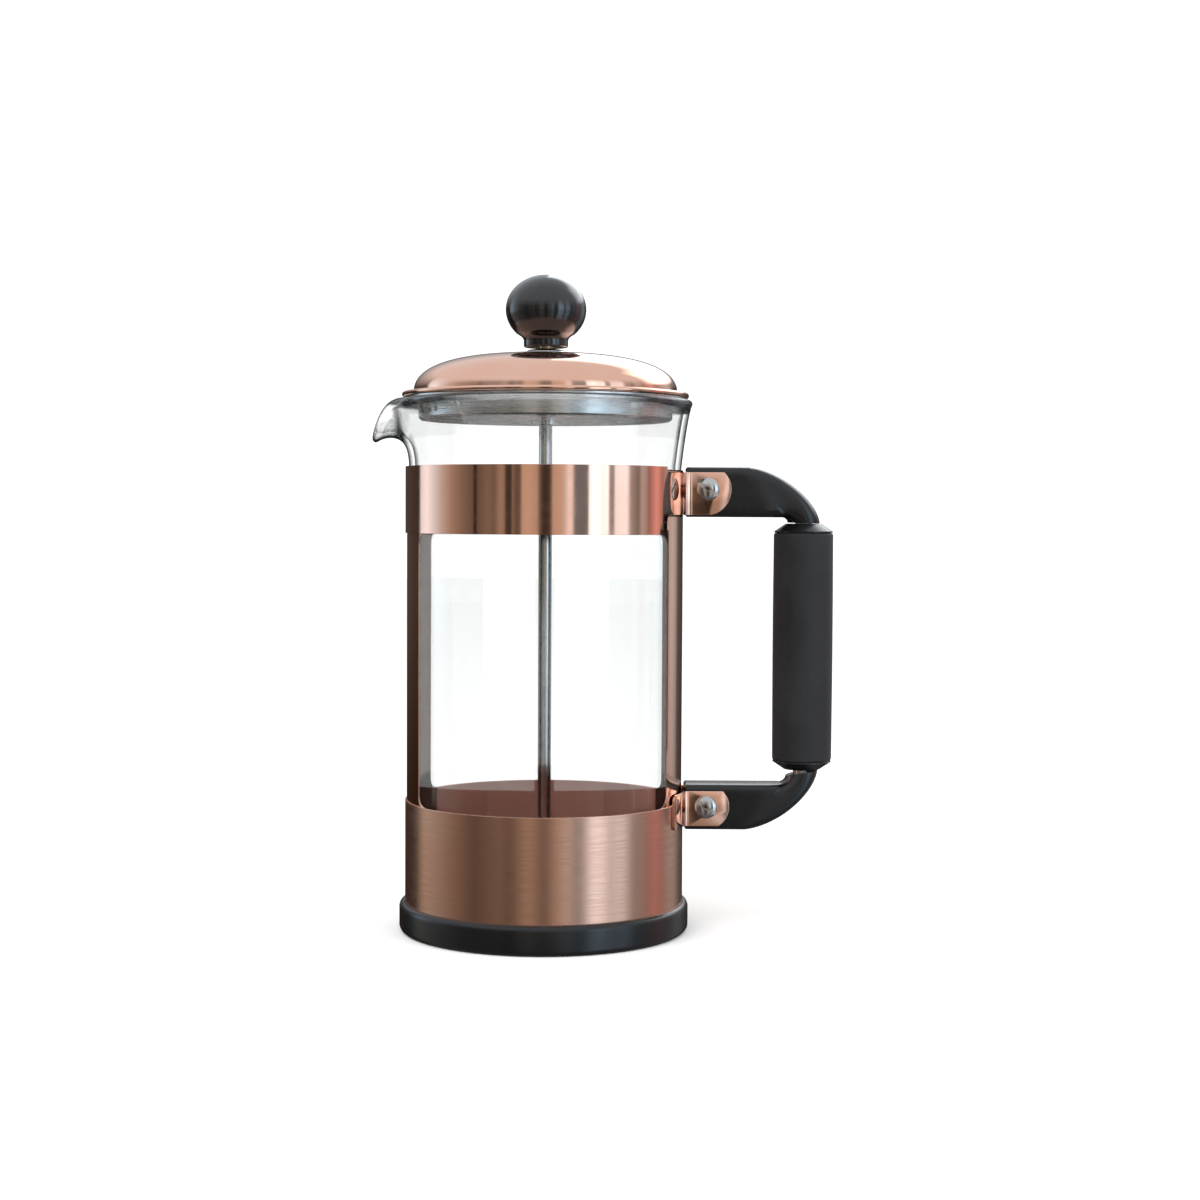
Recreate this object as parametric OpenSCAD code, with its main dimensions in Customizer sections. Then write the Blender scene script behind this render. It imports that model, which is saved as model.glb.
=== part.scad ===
// French press: a spouted glass beaker in a copper sheet frame with a black handle,
// and a lid that carries the plunger and its filter.
// +Z is up, the handle points along +X, the spout along -X, and the screw heads face -Y.
// The origin is on the beaker's axis, on the surface that the base stands on.

/* [Beaker] */
// Outside diameter of the glass wall
beaker_d = 98; // [80:0.5:120]
// Height of the glass from its foot to the top of its rim
beaker_h = 187.5; // [155:0.5:230]
// Thickness of the glass wall
glass_t = 2.2; // [1.6:0.1:3]
// Thickness of the glass floor
glass_floor_t = 2.6; // [2:0.1:4]
// Radius of the rounded corner round the foot
foot_r = 7; // [5:0.5:9]
// Diameter of the bead melted round the rim
bead_d = 2.5; // [2.2:0.1:3.2]
// How far the bead's centre stands out from the middle of the wall
rim_flare = 3.7; // [2:0.1:5]
// Height over which the wall flares out to the rim
flare_h = 24; // [20:0.5:28]
// How far the tip of the pouring lip stands out from the middle of the wall
spout_reach = 13.2; // [9:0.2:17]
// How far the tip of the pouring lip lies below the rim
spout_drop = 12.9; // [8:0.1:15]
// Half of the angle that the pouring lip takes from the rim
spout_half_angle = 25; // [18:1:34]

/* [Frame] */
// Gap between the glass and the frame round it
beaker_gap = 0.3; // [0.2:0.05:0.5]
// Thickness of the posts' sheet
post_t = 0.4; // [0.3:0.05:1]
// Thickness of the bands' sheet
band_t = 0.5; // [0.4:0.05:1]
// Width of each post, across its chord
post_w = 48; // [30:1:56]
// Radius of the corners between a post and the bands
post_fillet = 3.5; // [1:0.5:6]
// Height of the upper band
upper_band_h = 23.8; // [18:0.2:32]
// Distance from the rim down to the top of the upper band
upper_band_drop = 24.1; // [20:0.1:34]
// Height of the lower band that shows above the base
lower_band_h = 36.8; // [24:0.2:52]

/* [Base] */
// Height of the base cup
base_h = 10.5; // [9:0.1:16]
// Thickness of the base cup's wall
base_wall = 2; // [1.2:0.1:3]
// Thickness of the base cup's floor
base_floor = 2.4; // [2:0.1:4]
// Thickness of the cushion that the glass stands on
cushion_t = 1; // [0.6:0.1:2]
// Radius of the base cup's rounded lower edge
base_round = 2.2; // [1:0.1:3]

/* [Handle] */
// Distance from the frame to the axis of the grip
grip_offset = 43; // [36:0.2:52]
// Diameter of the grip
grip_d = 21.6; // [18:0.2:28]
// Thickness of the rubber sleeve
sleeve_t = 3.4; // [2:0.1:4.5]
// Diameter of the steel rod through the grip
core_d = 6; // [5:0.1:7]
// Thickness of the handle arms, front to back
arm_w = 15; // [12:0.5:18]
// Height of the upper arm where the ears clamp it
upper_arm_h = 18; // [16:0.2:22]
// Height of the lower arm where the ears clamp it
lower_arm_h = 16.6; // [15:0.2:20]
// Diameter of the arms' round necks
neck_d = 11.6; // [10:0.1:13]
// Height of the conical shoulder at each end of the grip
shoulder_h = 3.3; // [2:0.1:5]
// Height of the upper ears
upper_ear_h = 15.3; // [13:0.1:16]
// Height of the lower ears
lower_ear_h = 12.6; // [11:0.1:15]
// Thickness of the lower clips' sheet
clip_t = 0.8; // [0.5:0.05:1.2]

/* [Screws] */
// Diameter of the handle screws
screw_d = 4; // [3:0.1:5]
// Diameter of the screws' slotted heads
head_d = 8.2; // [7:0.1:9.5]
// Height of the screws' heads
head_h = 2.6; // [2:0.1:3.2]
// Width of the screwdriver slot
slot_w = 1.2; // [0.8:0.1:1.6]
// Nut size across its flats
nut_af = 7; // [6.5:0.1:9]
// Thickness of the nuts
nut_t = 3.2; // [2.4:0.1:4]

/* [Lid] */
// Thickness of the lid's sheet
lid_t = 0.7; // [0.5:0.05:1]
// Height of the dome above the lid's flange
dome_h = 15; // [10:0.5:24]
// Depth of the strainer's skirt inside the glass
skirt_h = 8; // [6:0.5:14]
// Number of pouring slots in the skirt
slot_count = 15; // [7:2:21]

/* [Plunger] */
// Diameter of the plunger rod
rod_d = 4.8; // [4:0.1:6]
// Diameter of the knob
knob_d = 29; // [22:0.5:36]
// Height of the knob
knob_h = 26; // [22:0.5:32]
// Gap between the filter's edge coil and the glass
filter_gap = 0.25; // [0.2:0.05:0.6]
// Diameter of the coil round the filter's edge
coil_d = 2.7; // [2:0.1:4]
// Height of the filter stack above the glass floor, with the plunger down
filter_lift = 4; // [3:0.5:12]
// Thickness of the filter's steel plates
plate_t = 0.8; // [0.5:0.1:1.2]

/* [Hidden] */
$fn = 96;

COPPER = [0.72, 0.43, 0.33];
BLACK = [0.09, 0.09, 0.10];
STEEL = [0.78, 0.78, 0.80];

// Clearances shared by every fit
face_gap = 0.05; // between pieces of one body that bear on each other
run_gap = 0.06; // round a piece that slides or turns in a bore
bolt_gap = 0.2; // round a screw in a plain hole

// Radii of the beaker and of the sheets round it, from the inside out
beaker_r = beaker_d / 2;
inner_r = beaker_r - glass_t;
wall_r = beaker_r - glass_t / 2;
post_r = beaker_r + beaker_gap;
band_r = post_r + post_t + 0.03;
frame_r = band_r + band_t;
base_bore_r = frame_r + face_gap;
base_r = base_bore_r + base_wall;

// Heights of the beaker, the bands and the base
ledge_z = base_floor + cushion_t;
foot_z = ledge_z + 0.1;
floor_z = foot_z + glass_floor_t;
rim_z = foot_z + beaker_h;
flare_z = rim_z - flare_h;
lower_band_top = base_h + lower_band_h;
upper_band_top = rim_z - upper_band_drop;
upper_band_foot = upper_band_top - upper_band_h;

// Screws, ears and arms
screw_reach = 8;
screw_x = frame_r + screw_reach;
ear_end_r = 8.4;
ear_y = arm_w / 2 + face_gap * 2;
upper_ear_z = upper_band_top - 1.6 - upper_ear_h;
upper_screw_z = upper_ear_z + upper_ear_h / 2 + 1.6;
upper_arm_top = upper_ear_z + upper_ear_h + 2;
lower_ear_z = lower_band_top - 8.9;
lower_screw_z = lower_ear_z + lower_ear_h / 2 + 0.7;
lower_arm_foot = lower_ear_z - 1.7;
lower_arm_top = lower_arm_foot + lower_arm_h;
upper_arm_foot = upper_arm_top - upper_arm_h;
upper_fold_r = 4;
lower_fold_r = 2.2;

// The grip and its core
grip_x = frame_r + grip_offset;
grip_r = grip_d / 2;
neck_r = neck_d / 2;
core_r = core_d / 2;
neck_len = 3;
grip_top = upper_arm_foot - neck_len + 0.8;
grip_foot = lower_arm_top + neck_len + 2;
sleeve_top = grip_top - shoulder_h;
sleeve_foot = grip_foot + shoulder_h;
socket_len = 7;

// The lid
strainer_t = 0.5;
lid_z = rim_z + 0.1;
lid_flange_r = wall_r + rim_flare - 0.4;
skirt_r = inner_r - 1.2;
dome_flange_z = lid_z + strainer_t + face_gap + lid_t / 2;
dome_top = dome_flange_z + dome_h;
dome_r = skirt_r + 1.4;
rod_r = rod_d / 2;
bushing_bore_r = rod_r + run_gap;
bushing_r = bushing_bore_r + 1.2;
bushing_flange_r = bushing_r + 3.4;
bushing_flange_h = 1.6;
bushing_flange_z = dome_top + lid_t / 2 + run_gap;
skirt_foot = lid_z + strainer_t - skirt_h;
spacer_r = bushing_r + 2.2;

// The plunger, from the nut under the filter up to the knob
filter_z = floor_z + filter_lift;
filter_nut_t = 3;
cross_z = filter_z + filter_nut_t + face_gap;
mesh_z = cross_z + plate_t + face_gap;
mesh_t = 0.35;
spring_z = mesh_z + mesh_t + face_gap;
hub_z = spring_z + plate_t + face_gap;
hub_h = 5.5;
coil_r = coil_d / 2;
coil_ring_r = inner_r - filter_gap - coil_r;
spring_plate_r = coil_ring_r - coil_r - 0.1;
cross_plate_r = inner_r - foot_r + 1.6;
knob_z = bushing_flange_z + bushing_flange_h + 0.9;
insert_h = 13;
insert_r = rod_r + 1.7;
rod_top = knob_z + insert_h - 1;

// Curves and outlines

function lerp(a, b, t) = a * (1 - t) + b * t;
function unit(v) = v / norm(v);
function turn(v) = [v[1], -v[0]];
function reversed(list) = [for (i = [len(list) - 1:-1:0]) list[i]];
function arc(c, r, from, to, steps) =
    [for (i = [0:steps]) c + r * [cos(lerp(from, to, i / steps)), sin(lerp(from, to, i / steps))]];
function bezier(p, steps) = [for (i = [0:steps])
    let (t = i / steps, s = 1 - t)
    p[0] * pow(s, 3) + p[1] * 3 * s * s * t + p[2] * 3 * s * t * t + p[3] * pow(t, 3)];
function along(path, i) =
    unit(path[min(i + 1, len(path) - 1)] - path[max(i - 1, 0)]);
function beside(path, d) = [for (i = [0:len(path) - 1]) path[i] + turn(along(path, i)) * d];
// A sheet of thickness t whose middle follows path
function sheet_outline(path, t) = concat(beside(path, t / 2), reversed(beside(path, -t / 2)));

// A solid through closed rings of the same number of points, capped at both ends
module skin(rings) {
    n = len(rings[0]);
    m = len(rings);
    sides = [for (j = [0:m - 2], i = [0:n - 1])
        [j * n + i, j * n + (i + 1) % n, (j + 1) * n + (i + 1) % n, (j + 1) * n + i]];
    first = [for (i = [n - 1:-1:0]) i];
    last = [for (i = [0:n - 1]) (m - 1) * n + i];
    polyhedron([for (ring = rings, p = ring) p], concat(sides, [first], [last]), convexity = 6);
}

// The same for rings that go all the way round and meet their own start
module loop(rings) {
    n = len(rings[0]);
    m = len(rings);
    polyhedron([for (ring = rings, p = ring) p], [for (j = [0:m - 1], i = [0:n - 1]) let (k = (j + 1) % m)
        [j * n + i, j * n + (i + 1) % n, k * n + (i + 1) % n, k * n + i]], convexity = 6);
}

module tube(r_in, r_out, z0, z1) {
    translate([0, 0, z0]) difference() {
        cylinder(r = r_out, h = z1 - z0);
        translate([0, 0, -1]) cylinder(r = r_in, h = z1 - z0 + 2);
    }
}

module round_rect(size, r) {
    translate([r, 0]) square([size[0] - 2 * r, size[1]]);
    translate([0, r]) square([size[0], size[1] - 2 * r]);
    for (x = [r, size[0] - r], y = [r, size[1] - r]) translate([x, y]) circle(r = r);
}

// Extrudes an outline drawn in Y and Z along +X, from the axis outwards
module through_side(length) {
    rotate([90, 0, 90]) linear_extrude(length) children();
}

// A round bar along Y, through the handle screws' axis
module cross_bar(x, z, r, y0, y1) {
    translate([x, y1, z]) rotate([90, 0, 0]) cylinder(r = r, h = y1 - y0);
}

// Base

module base_cup() {
    groove_r = base_r - 12;
    color(BLACK) difference() {
        rotate_extrude() polygon(concat(
            [[0, 0]],
            arc([base_r - base_round, base_round], base_round, -90, 0, 8),
            [[base_r, base_h - 2.1], [base_bore_r + 0.35, base_h], [base_bore_r, base_h]],
            [[base_bore_r, base_floor + 0.6], [base_bore_r - 2.2, base_floor + 0.6]],
            [[base_bore_r - 2.8, base_floor], [0, base_floor]]
        ));
        for (r = [groove_r, groove_r - 8]) tube(r - 2, r, -1, 0.6);
    }
}

module beaker_cushion() {
    color(BLACK) tube(16, beaker_r - foot_r + 2, base_floor + face_gap, ledge_z);
}

// Frame

module lower_band() {
    color(COPPER) tube(band_r, frame_r, base_floor + 0.6 + face_gap, lower_band_top);
}

// A curved strip inside both bands, whose corners are filleted where the bands cross it
module post() {
    foot = base_floor + 0.6 + face_gap;
    half = post_w / 2;
    top = upper_band_top - 1;
    wide = half + post_fillet;
    intersection() {
        tube(post_r, post_r + post_t, foot, top);
        through_side(beaker_d) difference() {
            translate([-wide, 0]) square([2 * wide, top + 1]);
            for (s = [-1, 1]) translate([s * (wide + half) / 2, 0])
                translate([-post_fillet / 2, lower_band_top])
                    square([post_fillet, upper_band_foot - lower_band_top]);
        }
    }
    for (s = [-1, 1], end = [0, 1]) post_corner(s, end);
}

// The fillet between a post and a band: end 0 is at the lower band, end 1 at the upper
module post_corner(side, end) {
    half = post_w / 2;
    z = end == 0 ? lower_band_top : upper_band_foot;
    up = end == 0 ? 1 : -1;
    intersection() {
        tube(post_r, post_r + post_t, z - post_fillet, z + post_fillet);
        through_side(beaker_d) difference() {
            translate([side > 0 ? half - 0.01 : -half - post_fillet, end == 0 ? z - 0.01 : z - post_fillet])
                square([post_fillet + 0.01, post_fillet + 0.01]);
            translate([side * (half + post_fillet), z + up * post_fillet]) circle(r = post_fillet);
        }
    }
}

module spout_side_post() {
    color(COPPER) mirror([1, 0, 0]) post();
}

module handle_side_post() {
    color(COPPER) post();
}

// Sine of the angle at which a flange round the beaker leaves it to fold out into an ear
function fold_y(t, fold_r) = ear_y + t + fold_r;
function fold_angle(r, t, fold_r) = asin(fold_y(t, fold_r) / (r + t + fold_r));
function fold_x(r, t, fold_r) = (r + t + fold_r) * cos(fold_angle(r, t, fold_r));

// The fold and the flat ear that stand out from a flange of radius r, on the front side.
// The fold is a hair thinner than the sheet, so that its ends run into the flange and the ear.
module ear(r, t, fold_r, z0, h, screw_z) {
    x = fold_x(r, t, fold_r);
    hair = 0.02;
    run_in = 4;
    translate([x, -fold_y(t, fold_r), z0]) rotate([0, 0, 90 - run_in])
        rotate_extrude(angle = 90 - fold_angle(r, t, fold_r) + 2 * run_in)
            translate([fold_r + hair, 0]) square([t - 2 * hair, h]);
    difference() {
        intersection() {
            translate([x, -ear_y - t, z0]) cube([screw_x + ear_end_r - x, t, h]);
            union() {
                cross_bar(screw_x, screw_z, ear_end_r, -ear_y - t - 1, -ear_y + 1);
                translate([0, -ear_y - t - 1, z0 - 1]) cube([screw_x, t + 2, h + 2]);
            }
        }
        cross_bar(screw_x, screw_z, screw_d / 2 + bolt_gap, -ear_y - t - 1, -ear_y + 1);
    }
}

// A split ring: past its shoulders it narrows to two tabs, which fold out into the upper ears
module upper_band() {
    gap = band_r * sin(fold_angle(band_r, band_t, upper_fold_r));
    shoulder = post_w / 2 + 1.4;
    tab_top = upper_ear_z + upper_ear_h;
    split = fold_angle(band_r, band_t, upper_fold_r);
    color(COPPER) {
        difference() {
            tube(band_r, frame_r, upper_band_foot, upper_band_top);
            linear_extrude(rim_z) polygon([[0, 0], 2 * frame_r * [cos(split), sin(split)],
                2 * frame_r * [cos(split), -sin(split)]]);
            through_side(beaker_d) translate([-shoulder, upper_ear_z - upper_band_h])
                round_rect([2 * shoulder, upper_band_h], 2.4);
            through_side(beaker_d) translate([-shoulder, tab_top]) square([2 * shoulder, upper_band_h]);
        }
        for (m = [0, 1]) mirror([0, m, 0])
            ear(band_r, band_t, upper_fold_r, upper_ear_z, upper_ear_h, upper_screw_z);
    }
}

// A flange welded over the lower band and the post, folded out into an ear
module lower_clip() {
    r = frame_r + face_gap;
    from = fold_angle(r, clip_t, lower_fold_r);
    width = 13;
    to = from + width;
    edge = r * sin(to);
    color(COPPER) {
        intersection() {
            rotate([0, 0, -to]) rotate_extrude(angle = width)
                translate([r, lower_ear_z]) square([clip_t, lower_ear_h]);
            through_side(beaker_d) translate([-edge, lower_ear_z])
                round_rect([2 * edge, lower_ear_h], 2.4);
        }
        ear(r, clip_t, lower_fold_r, lower_ear_z, lower_ear_h, lower_screw_z);
    }
}

module lower_front_clip() {
    lower_clip();
}

module lower_rear_clip() {
    mirror([0, 1, 0]) lower_clip();
}

// Handle

// A ring of an arm's skin between an inner and an outer point, squarer as power grows
function arm_ring(outer, inner, half_w, power) = let (c = (outer + inner) / 2, u = (outer - inner) / 2)
    [for (i = [0:31]) let (a = i * 360 / 32, p = 2 / power,
        s = sign(cos(a)) * pow(abs(cos(a)), p), w = sign(sin(a)) * pow(abs(sin(a)), p))
        [c[0] + u[0] * s, half_w * w, c[1] + u[1] * s]];

// An arm drawn as if its neck pointed up: a square tang that rounds and turns into the neck.
// Its outer side is a superellipse, flatter across the elbow than a true ellipse.
module arm_skin(depth, rise) {
    end_x = frame_r + 0.5;
    bend = min(2.6, rise - depth - 0.3);
    flat = 1.25;
    outer_c = [frame_r + 22.4, 0];
    outer_r = [grip_x + neck_r - outer_c[0], rise - outer_c[1]];
    inner_c = [grip_x - neck_r - bend, depth + bend];
    square_power = 9;
    straight = [for (i = [0:4]) let (t = i / 4) arm_ring(
        [lerp(end_x, outer_c[0], t), 0], [lerp(end_x, inner_c[0], t), depth],
        arm_w / 2, square_power)];
    turned = [for (i = [1:12]) let (t = i / 12, a = 90 * t) arm_ring(
        outer_c + [outer_r[0] * pow(sin(a), flat), outer_r[1] * (1 - pow(cos(a), flat))],
        inner_c + bend * [sin(a), -cos(a)],
        lerp(arm_w / 2, neck_r, t), lerp(square_power, 2, pow(t, 0.6)))];
    neck = [arm_ring([grip_x + neck_r, rise + 0.01], [grip_x - neck_r, rise + 0.01], neck_r, 2)];
    skin(concat(straight, turned, neck));
}

module handle_arm(depth, rise, screw_rise) {
    difference() {
        arm_skin(depth, rise);
        cross_bar(screw_x, screw_rise, screw_d / 2 + bolt_gap, -arm_w, arm_w);
        translate([grip_x, 0, rise - socket_len]) cylinder(r = core_r + face_gap, h = socket_len + 1);
    }
}

module upper_handle_arm() {
    color(BLACK) translate([0, 0, upper_arm_top]) mirror([0, 0, 1])
        handle_arm(upper_arm_h, upper_arm_top - grip_top - face_gap, upper_arm_top - upper_screw_z);
}

module lower_handle_arm() {
    color(BLACK) translate([0, 0, lower_arm_foot])
        handle_arm(lower_arm_h, grip_foot - lower_arm_foot - face_gap, lower_screw_z - lower_arm_foot);
}

module grip_core_rod() {
    color(STEEL) translate([grip_x, 0, grip_foot - socket_len + face_gap])
        cylinder(r = core_r, h = grip_top - grip_foot + 2 * (socket_len - face_gap) - face_gap);
}

module grip_tube() {
    color(BLACK) translate([grip_x, 0, 0])
        tube(core_r + face_gap, grip_r - sleeve_t - face_gap, sleeve_foot + face_gap, sleeve_top - face_gap);
}

module grip_sleeve() {
    round = 0.8;
    low = sleeve_foot + face_gap;
    high = sleeve_top - face_gap;
    bore_r = grip_r - sleeve_t;
    color(BLACK) translate([grip_x, 0, 0]) rotate_extrude() polygon(concat(
        [[bore_r, low]],
        arc([grip_r - round, low + round], round, -90, 0, 5),
        arc([grip_r - round, high - round], round, 0, 90, 5),
        [[bore_r, high]]
    ));
}

// A conical shoulder between a sleeve's end and an arm's neck, wide end down
module collar() {
    lip = 0.6;
    translate([grip_x, 0, 0]) rotate_extrude() polygon([
        [core_r + face_gap, 0], [grip_r - 0.3, 0], [grip_r - 0.3, lip],
        [neck_r + 0.5, shoulder_h], [core_r + face_gap, shoulder_h]]);
}

module upper_grip_collar() {
    color(BLACK) translate([0, 0, sleeve_top]) collar();
}

module lower_grip_collar() {
    color(BLACK) translate([0, 0, sleeve_foot]) mirror([0, 0, 1]) collar();
}

// Screws and nuts, drawn along +Z from the face that they bear on

module handle_screw(length) {
    side_h = head_h * 0.4;
    difference() {
        union() {
            mirror([0, 0, 1]) cylinder(r = screw_d / 2, h = length);
            rotate_extrude() polygon(concat(
                [[0, 0], [head_d / 2, 0]],
                [for (i = [0:8]) [head_d / 2 * cos(90 * i / 8), side_h + (head_h - side_h) * sin(90 * i / 8)]]
            ));
        }
        rotate([0, 0, -33]) translate([-head_d, -slot_w / 2, head_h * 0.45]) cube([2 * head_d, slot_w, head_h]);
    }
}

module placed_screw(z, t) {
    length = 2 * (ear_y + t) + nut_t + 1.2;
    color(STEEL) translate([screw_x, -ear_y - t - face_gap, z]) rotate([90, 0, 0]) handle_screw(length);
}

module placed_nut(z, t) {
    corner_r = nut_af / sqrt(3);
    color(STEEL) translate([screw_x, ear_y + t + face_gap, z]) rotate([-90, 0, 0]) difference() {
        intersection() {
            cylinder(r = corner_r, h = nut_t, $fn = 6);
            rotate_extrude() polygon([[0, 0], [corner_r - 0.5, 0], [corner_r, 0.4],
                [corner_r, nut_t - 0.4], [corner_r - 0.5, nut_t], [0, nut_t]]);
        }
        translate([0, 0, -1]) cylinder(r = screw_d / 2 + face_gap, h = nut_t + 2);
    }
}

module upper_screw() {
    placed_screw(upper_screw_z, band_t);
}

module lower_screw() {
    placed_screw(lower_screw_z, clip_t);
}

module upper_nut() {
    placed_nut(upper_screw_z, band_t);
}

module lower_nut() {
    placed_nut(lower_screw_z, clip_t);
}

// Beaker

// The middle of the flaring wall: lip is 0 round the rim and 1 at the tip of the spout
function flare_path(lip) = let (
    bead = [wall_r + lerp(rim_flare, spout_reach, lip), rim_z - bead_d / 2 - spout_drop * pow(lip, 2.8)],
    low = [wall_r, flare_z],
    rising = [wall_r + 0.9 * (1 - lip), flare_z + lerp(8, 12.2, lip)],
    leaning = bead + lerp(1, 0, lip) * [-1.5, -5] + lip * [-5.6, 2.9]
) bezier([low, rising, leaning, bead], 10);

// The flaring wall from foot_z up and over its bead. Below the flare it is a hair thinner
// than the wall, so that it runs into it.
function flare_outline(lip, foot_z, hair) = let (
    path = flare_path(lip),
    end = len(path) - 1,
    ahead = along(path, end),
    aside = turn(ahead),
    outer = beside(path, glass_t / 2),
    inner = beside(path, -glass_t / 2),
    bead = [for (i = [0:6]) path[end] + bead_d / 2 * (aside * cos(i * 30) + ahead * sin(i * 30))]
) concat([[beaker_r - hair, foot_z]], [for (i = [1:end - 1]) outer[i]], bead,
    [for (i = [end - 1:-1:1]) inner[i]], [[inner_r + hair, foot_z]]);

// How much of the spout's pull reaches the rim at an angle from its middle
function lip_share(a) =
    abs(a) > spout_half_angle ? 0 : pow((1 + cos(180 * a / spout_half_angle)) / 2, 1.15);

// The flared rim and its spout, in fine steps across the spout and wider ones round the rest
module flared_rim() {
    fine = 24;
    wide = 56;
    angles = concat(
        [for (j = [0:fine - 1]) lerp(-spout_half_angle, spout_half_angle, j / fine)],
        [for (j = [0:wide - 1]) lerp(spout_half_angle, 360 - spout_half_angle, j / wide)]
    );
    loop([for (a = angles)
        [for (p = flare_outline(lip_share(a > 180 ? a - 360 : a), flare_z - 1, 0.04))
            [-p[0] * cos(a), -p[0] * sin(a), p[1]]]]);
}

module glass_beaker() {
    corner = foot_r - glass_t;
    color([0.85, 0.92, 0.92, 0.4]) {
        rotate_extrude() polygon(concat(
            [[0, foot_z]],
            arc([beaker_r - foot_r, foot_z + foot_r], foot_r, -90, 0, 8),
            [[beaker_r, flare_z], [inner_r, flare_z]],
            arc([inner_r - corner, floor_z + corner], corner, 0, -90, 8),
            [[0, floor_z]]
        ));
        flared_rim();
    }
}

// Lid

module lid_bushing() {
    foot = skirt_foot - 1.6;
    color(STEEL) {
        tube(bushing_bore_r, bushing_r, foot, bushing_flange_z + bushing_flange_h - 0.1);
        rotate_extrude() polygon([
            [bushing_r - 0.2, bushing_flange_z], [bushing_flange_r, bushing_flange_z],
            [bushing_flange_r, bushing_flange_z + 0.7],
            [bushing_flange_r - 1.2, bushing_flange_z + bushing_flange_h],
            [bushing_r - 0.2, bushing_flange_z + bushing_flange_h]]);
    }
}

// Snaps round the bushing's foot and keeps the lid on it
module lid_bushing_ring() {
    color(STEEL) tube(bushing_r + face_gap, bushing_r + 1.6, skirt_foot - 1.2, skirt_foot - run_gap);
}

module lid_dome() {
    wall_foot = dome_flange_z + 2.6;
    path = concat(
        [[lid_flange_r, dome_flange_z], [dome_r + 1.2, dome_flange_z]],
        arc([dome_r + 1.2, dome_flange_z + 1.2], 1.2, 270, 180, 4),
        bezier([[dome_r, wall_foot], [dome_r - 1, wall_foot + dome_h * 0.62],
            [dome_r * 0.6, dome_top], [bushing_flange_r + 2.6, dome_top]], 16),
        [[bushing_r + run_gap, dome_top]]
    );
    color(COPPER) rotate_extrude() polygon(sheet_outline(path, lid_t));
}

// A pressed cup: a flange on the rim, a skirt inside the glass and a floor, with pouring slots
module lid_strainer() {
    pitch = 5;
    slot_h = skirt_h - 4;
    color(STEEL) difference() {
        rotate_extrude() polygon([
            [bushing_r + run_gap, skirt_foot], [skirt_r - 0.8, skirt_foot], [skirt_r, skirt_foot + 0.8],
            [skirt_r, lid_z], [lid_flange_r - 0.3, lid_z], [lid_flange_r - 0.3, lid_z + strainer_t],
            [skirt_r - strainer_t, lid_z + strainer_t], [skirt_r - strainer_t, skirt_foot + 1],
            [skirt_r - 1, skirt_foot + strainer_t], [bushing_r + run_gap, skirt_foot + strainer_t]]);
        for (i = [0:slot_count - 1]) rotate([0, 0, 180 + pitch * (i - (slot_count - 1) / 2)])
            translate([skirt_r - 3, -0.9, skirt_foot + 2]) cube([6, 1.8, slot_h]);
    }
}

// Stands on the strainer round the bushing and holds up the middle of the dome
module lid_spacer() {
    color(BLACK) tube(bushing_r + run_gap, spacer_r, skirt_foot + strainer_t + face_gap,
        dome_top - lid_t / 2 - face_gap);
}

// Plunger

module plunger_rod() {
    foot = filter_z - 1;
    color(STEEL) rotate_extrude() polygon([
        [0, foot], [rod_r - 0.5, foot], [rod_r, foot + 0.5],
        [rod_r, rod_top - 0.5], [rod_r - 0.5, rod_top], [0, rod_top]]);
}

module plunger_knob() {
    r = knob_d / 2;
    neck_r = r * 0.55;
    ball_z = knob_z + knob_h - r * 0.86;
    color(BLACK) difference() {
        rotate_extrude() polygon(concat(
            [[0, knob_z], [neck_r - 0.5, knob_z], [neck_r, knob_z + 0.5], [neck_r, knob_z + 2.2]],
            [for (i = [0:22]) let (a = lerp(-52, 90, i / 22)) [r * cos(a), ball_z + r * 0.86 * sin(a)]]
        ));
        translate([0, 0, knob_z - 1]) cylinder(r = insert_r + face_gap, h = insert_h + 1 + face_gap);
    }
}

module knob_insert() {
    color([0.8, 0.65, 0.35]) tube(rod_r + face_gap, insert_r, knob_z + 0.1, knob_z + insert_h);
}

module filter_hub() {
    color(STEEL) translate([0, 0, hub_z]) rotate_extrude() polygon([
        [rod_r + face_gap, 0], [7, 0], [7, 1.2], [4.6, 2], [4.6, hub_h - 0.5], [4.1, hub_h],
        [rod_r + face_gap, hub_h]]);
}

// Holes of radius hole_r, spaced evenly on a circle
module hole_circle(r, count, hole_r) {
    for (i = [0:count - 1]) rotate(i * 360 / count) translate([r, 0]) circle(r = hole_r, $fn = 24);
}

module spring_plate() {
    rim_h = coil_d * 0.8;
    color(STEEL) {
        translate([0, 0, spring_z]) linear_extrude(plate_t) difference() {
            circle(r = spring_plate_r);
            circle(r = rod_r + face_gap);
            hole_circle(spring_plate_r * 0.80, 24, 2.3);
            hole_circle(spring_plate_r * 0.58, 16, 2.6);
            hole_circle(spring_plate_r * 0.33, 8, 2.6);
        }
        tube(spring_plate_r - plate_t, spring_plate_r, spring_z, spring_z + rim_h);
    }
}

module edge_coil() {
    color(STEEL) translate([0, 0, spring_z + coil_r + 0.1]) rotate_extrude()
        translate([coil_ring_r, 0]) circle(r = coil_r, $fn = 32);
}

module mesh_disc() {
    color(STEEL) tube(rod_r + face_gap, inner_r - filter_gap - 0.3, mesh_z, mesh_z + mesh_t);
}

module cross_plate() {
    color(STEEL) translate([0, 0, cross_z]) linear_extrude(plate_t) difference() {
        circle(r = cross_plate_r);
        circle(r = rod_r + face_gap);
        hole_circle(cross_plate_r * 0.80, 18, 3.8);
        hole_circle(cross_plate_r * 0.50, 10, 4.4);
    }
}

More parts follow.
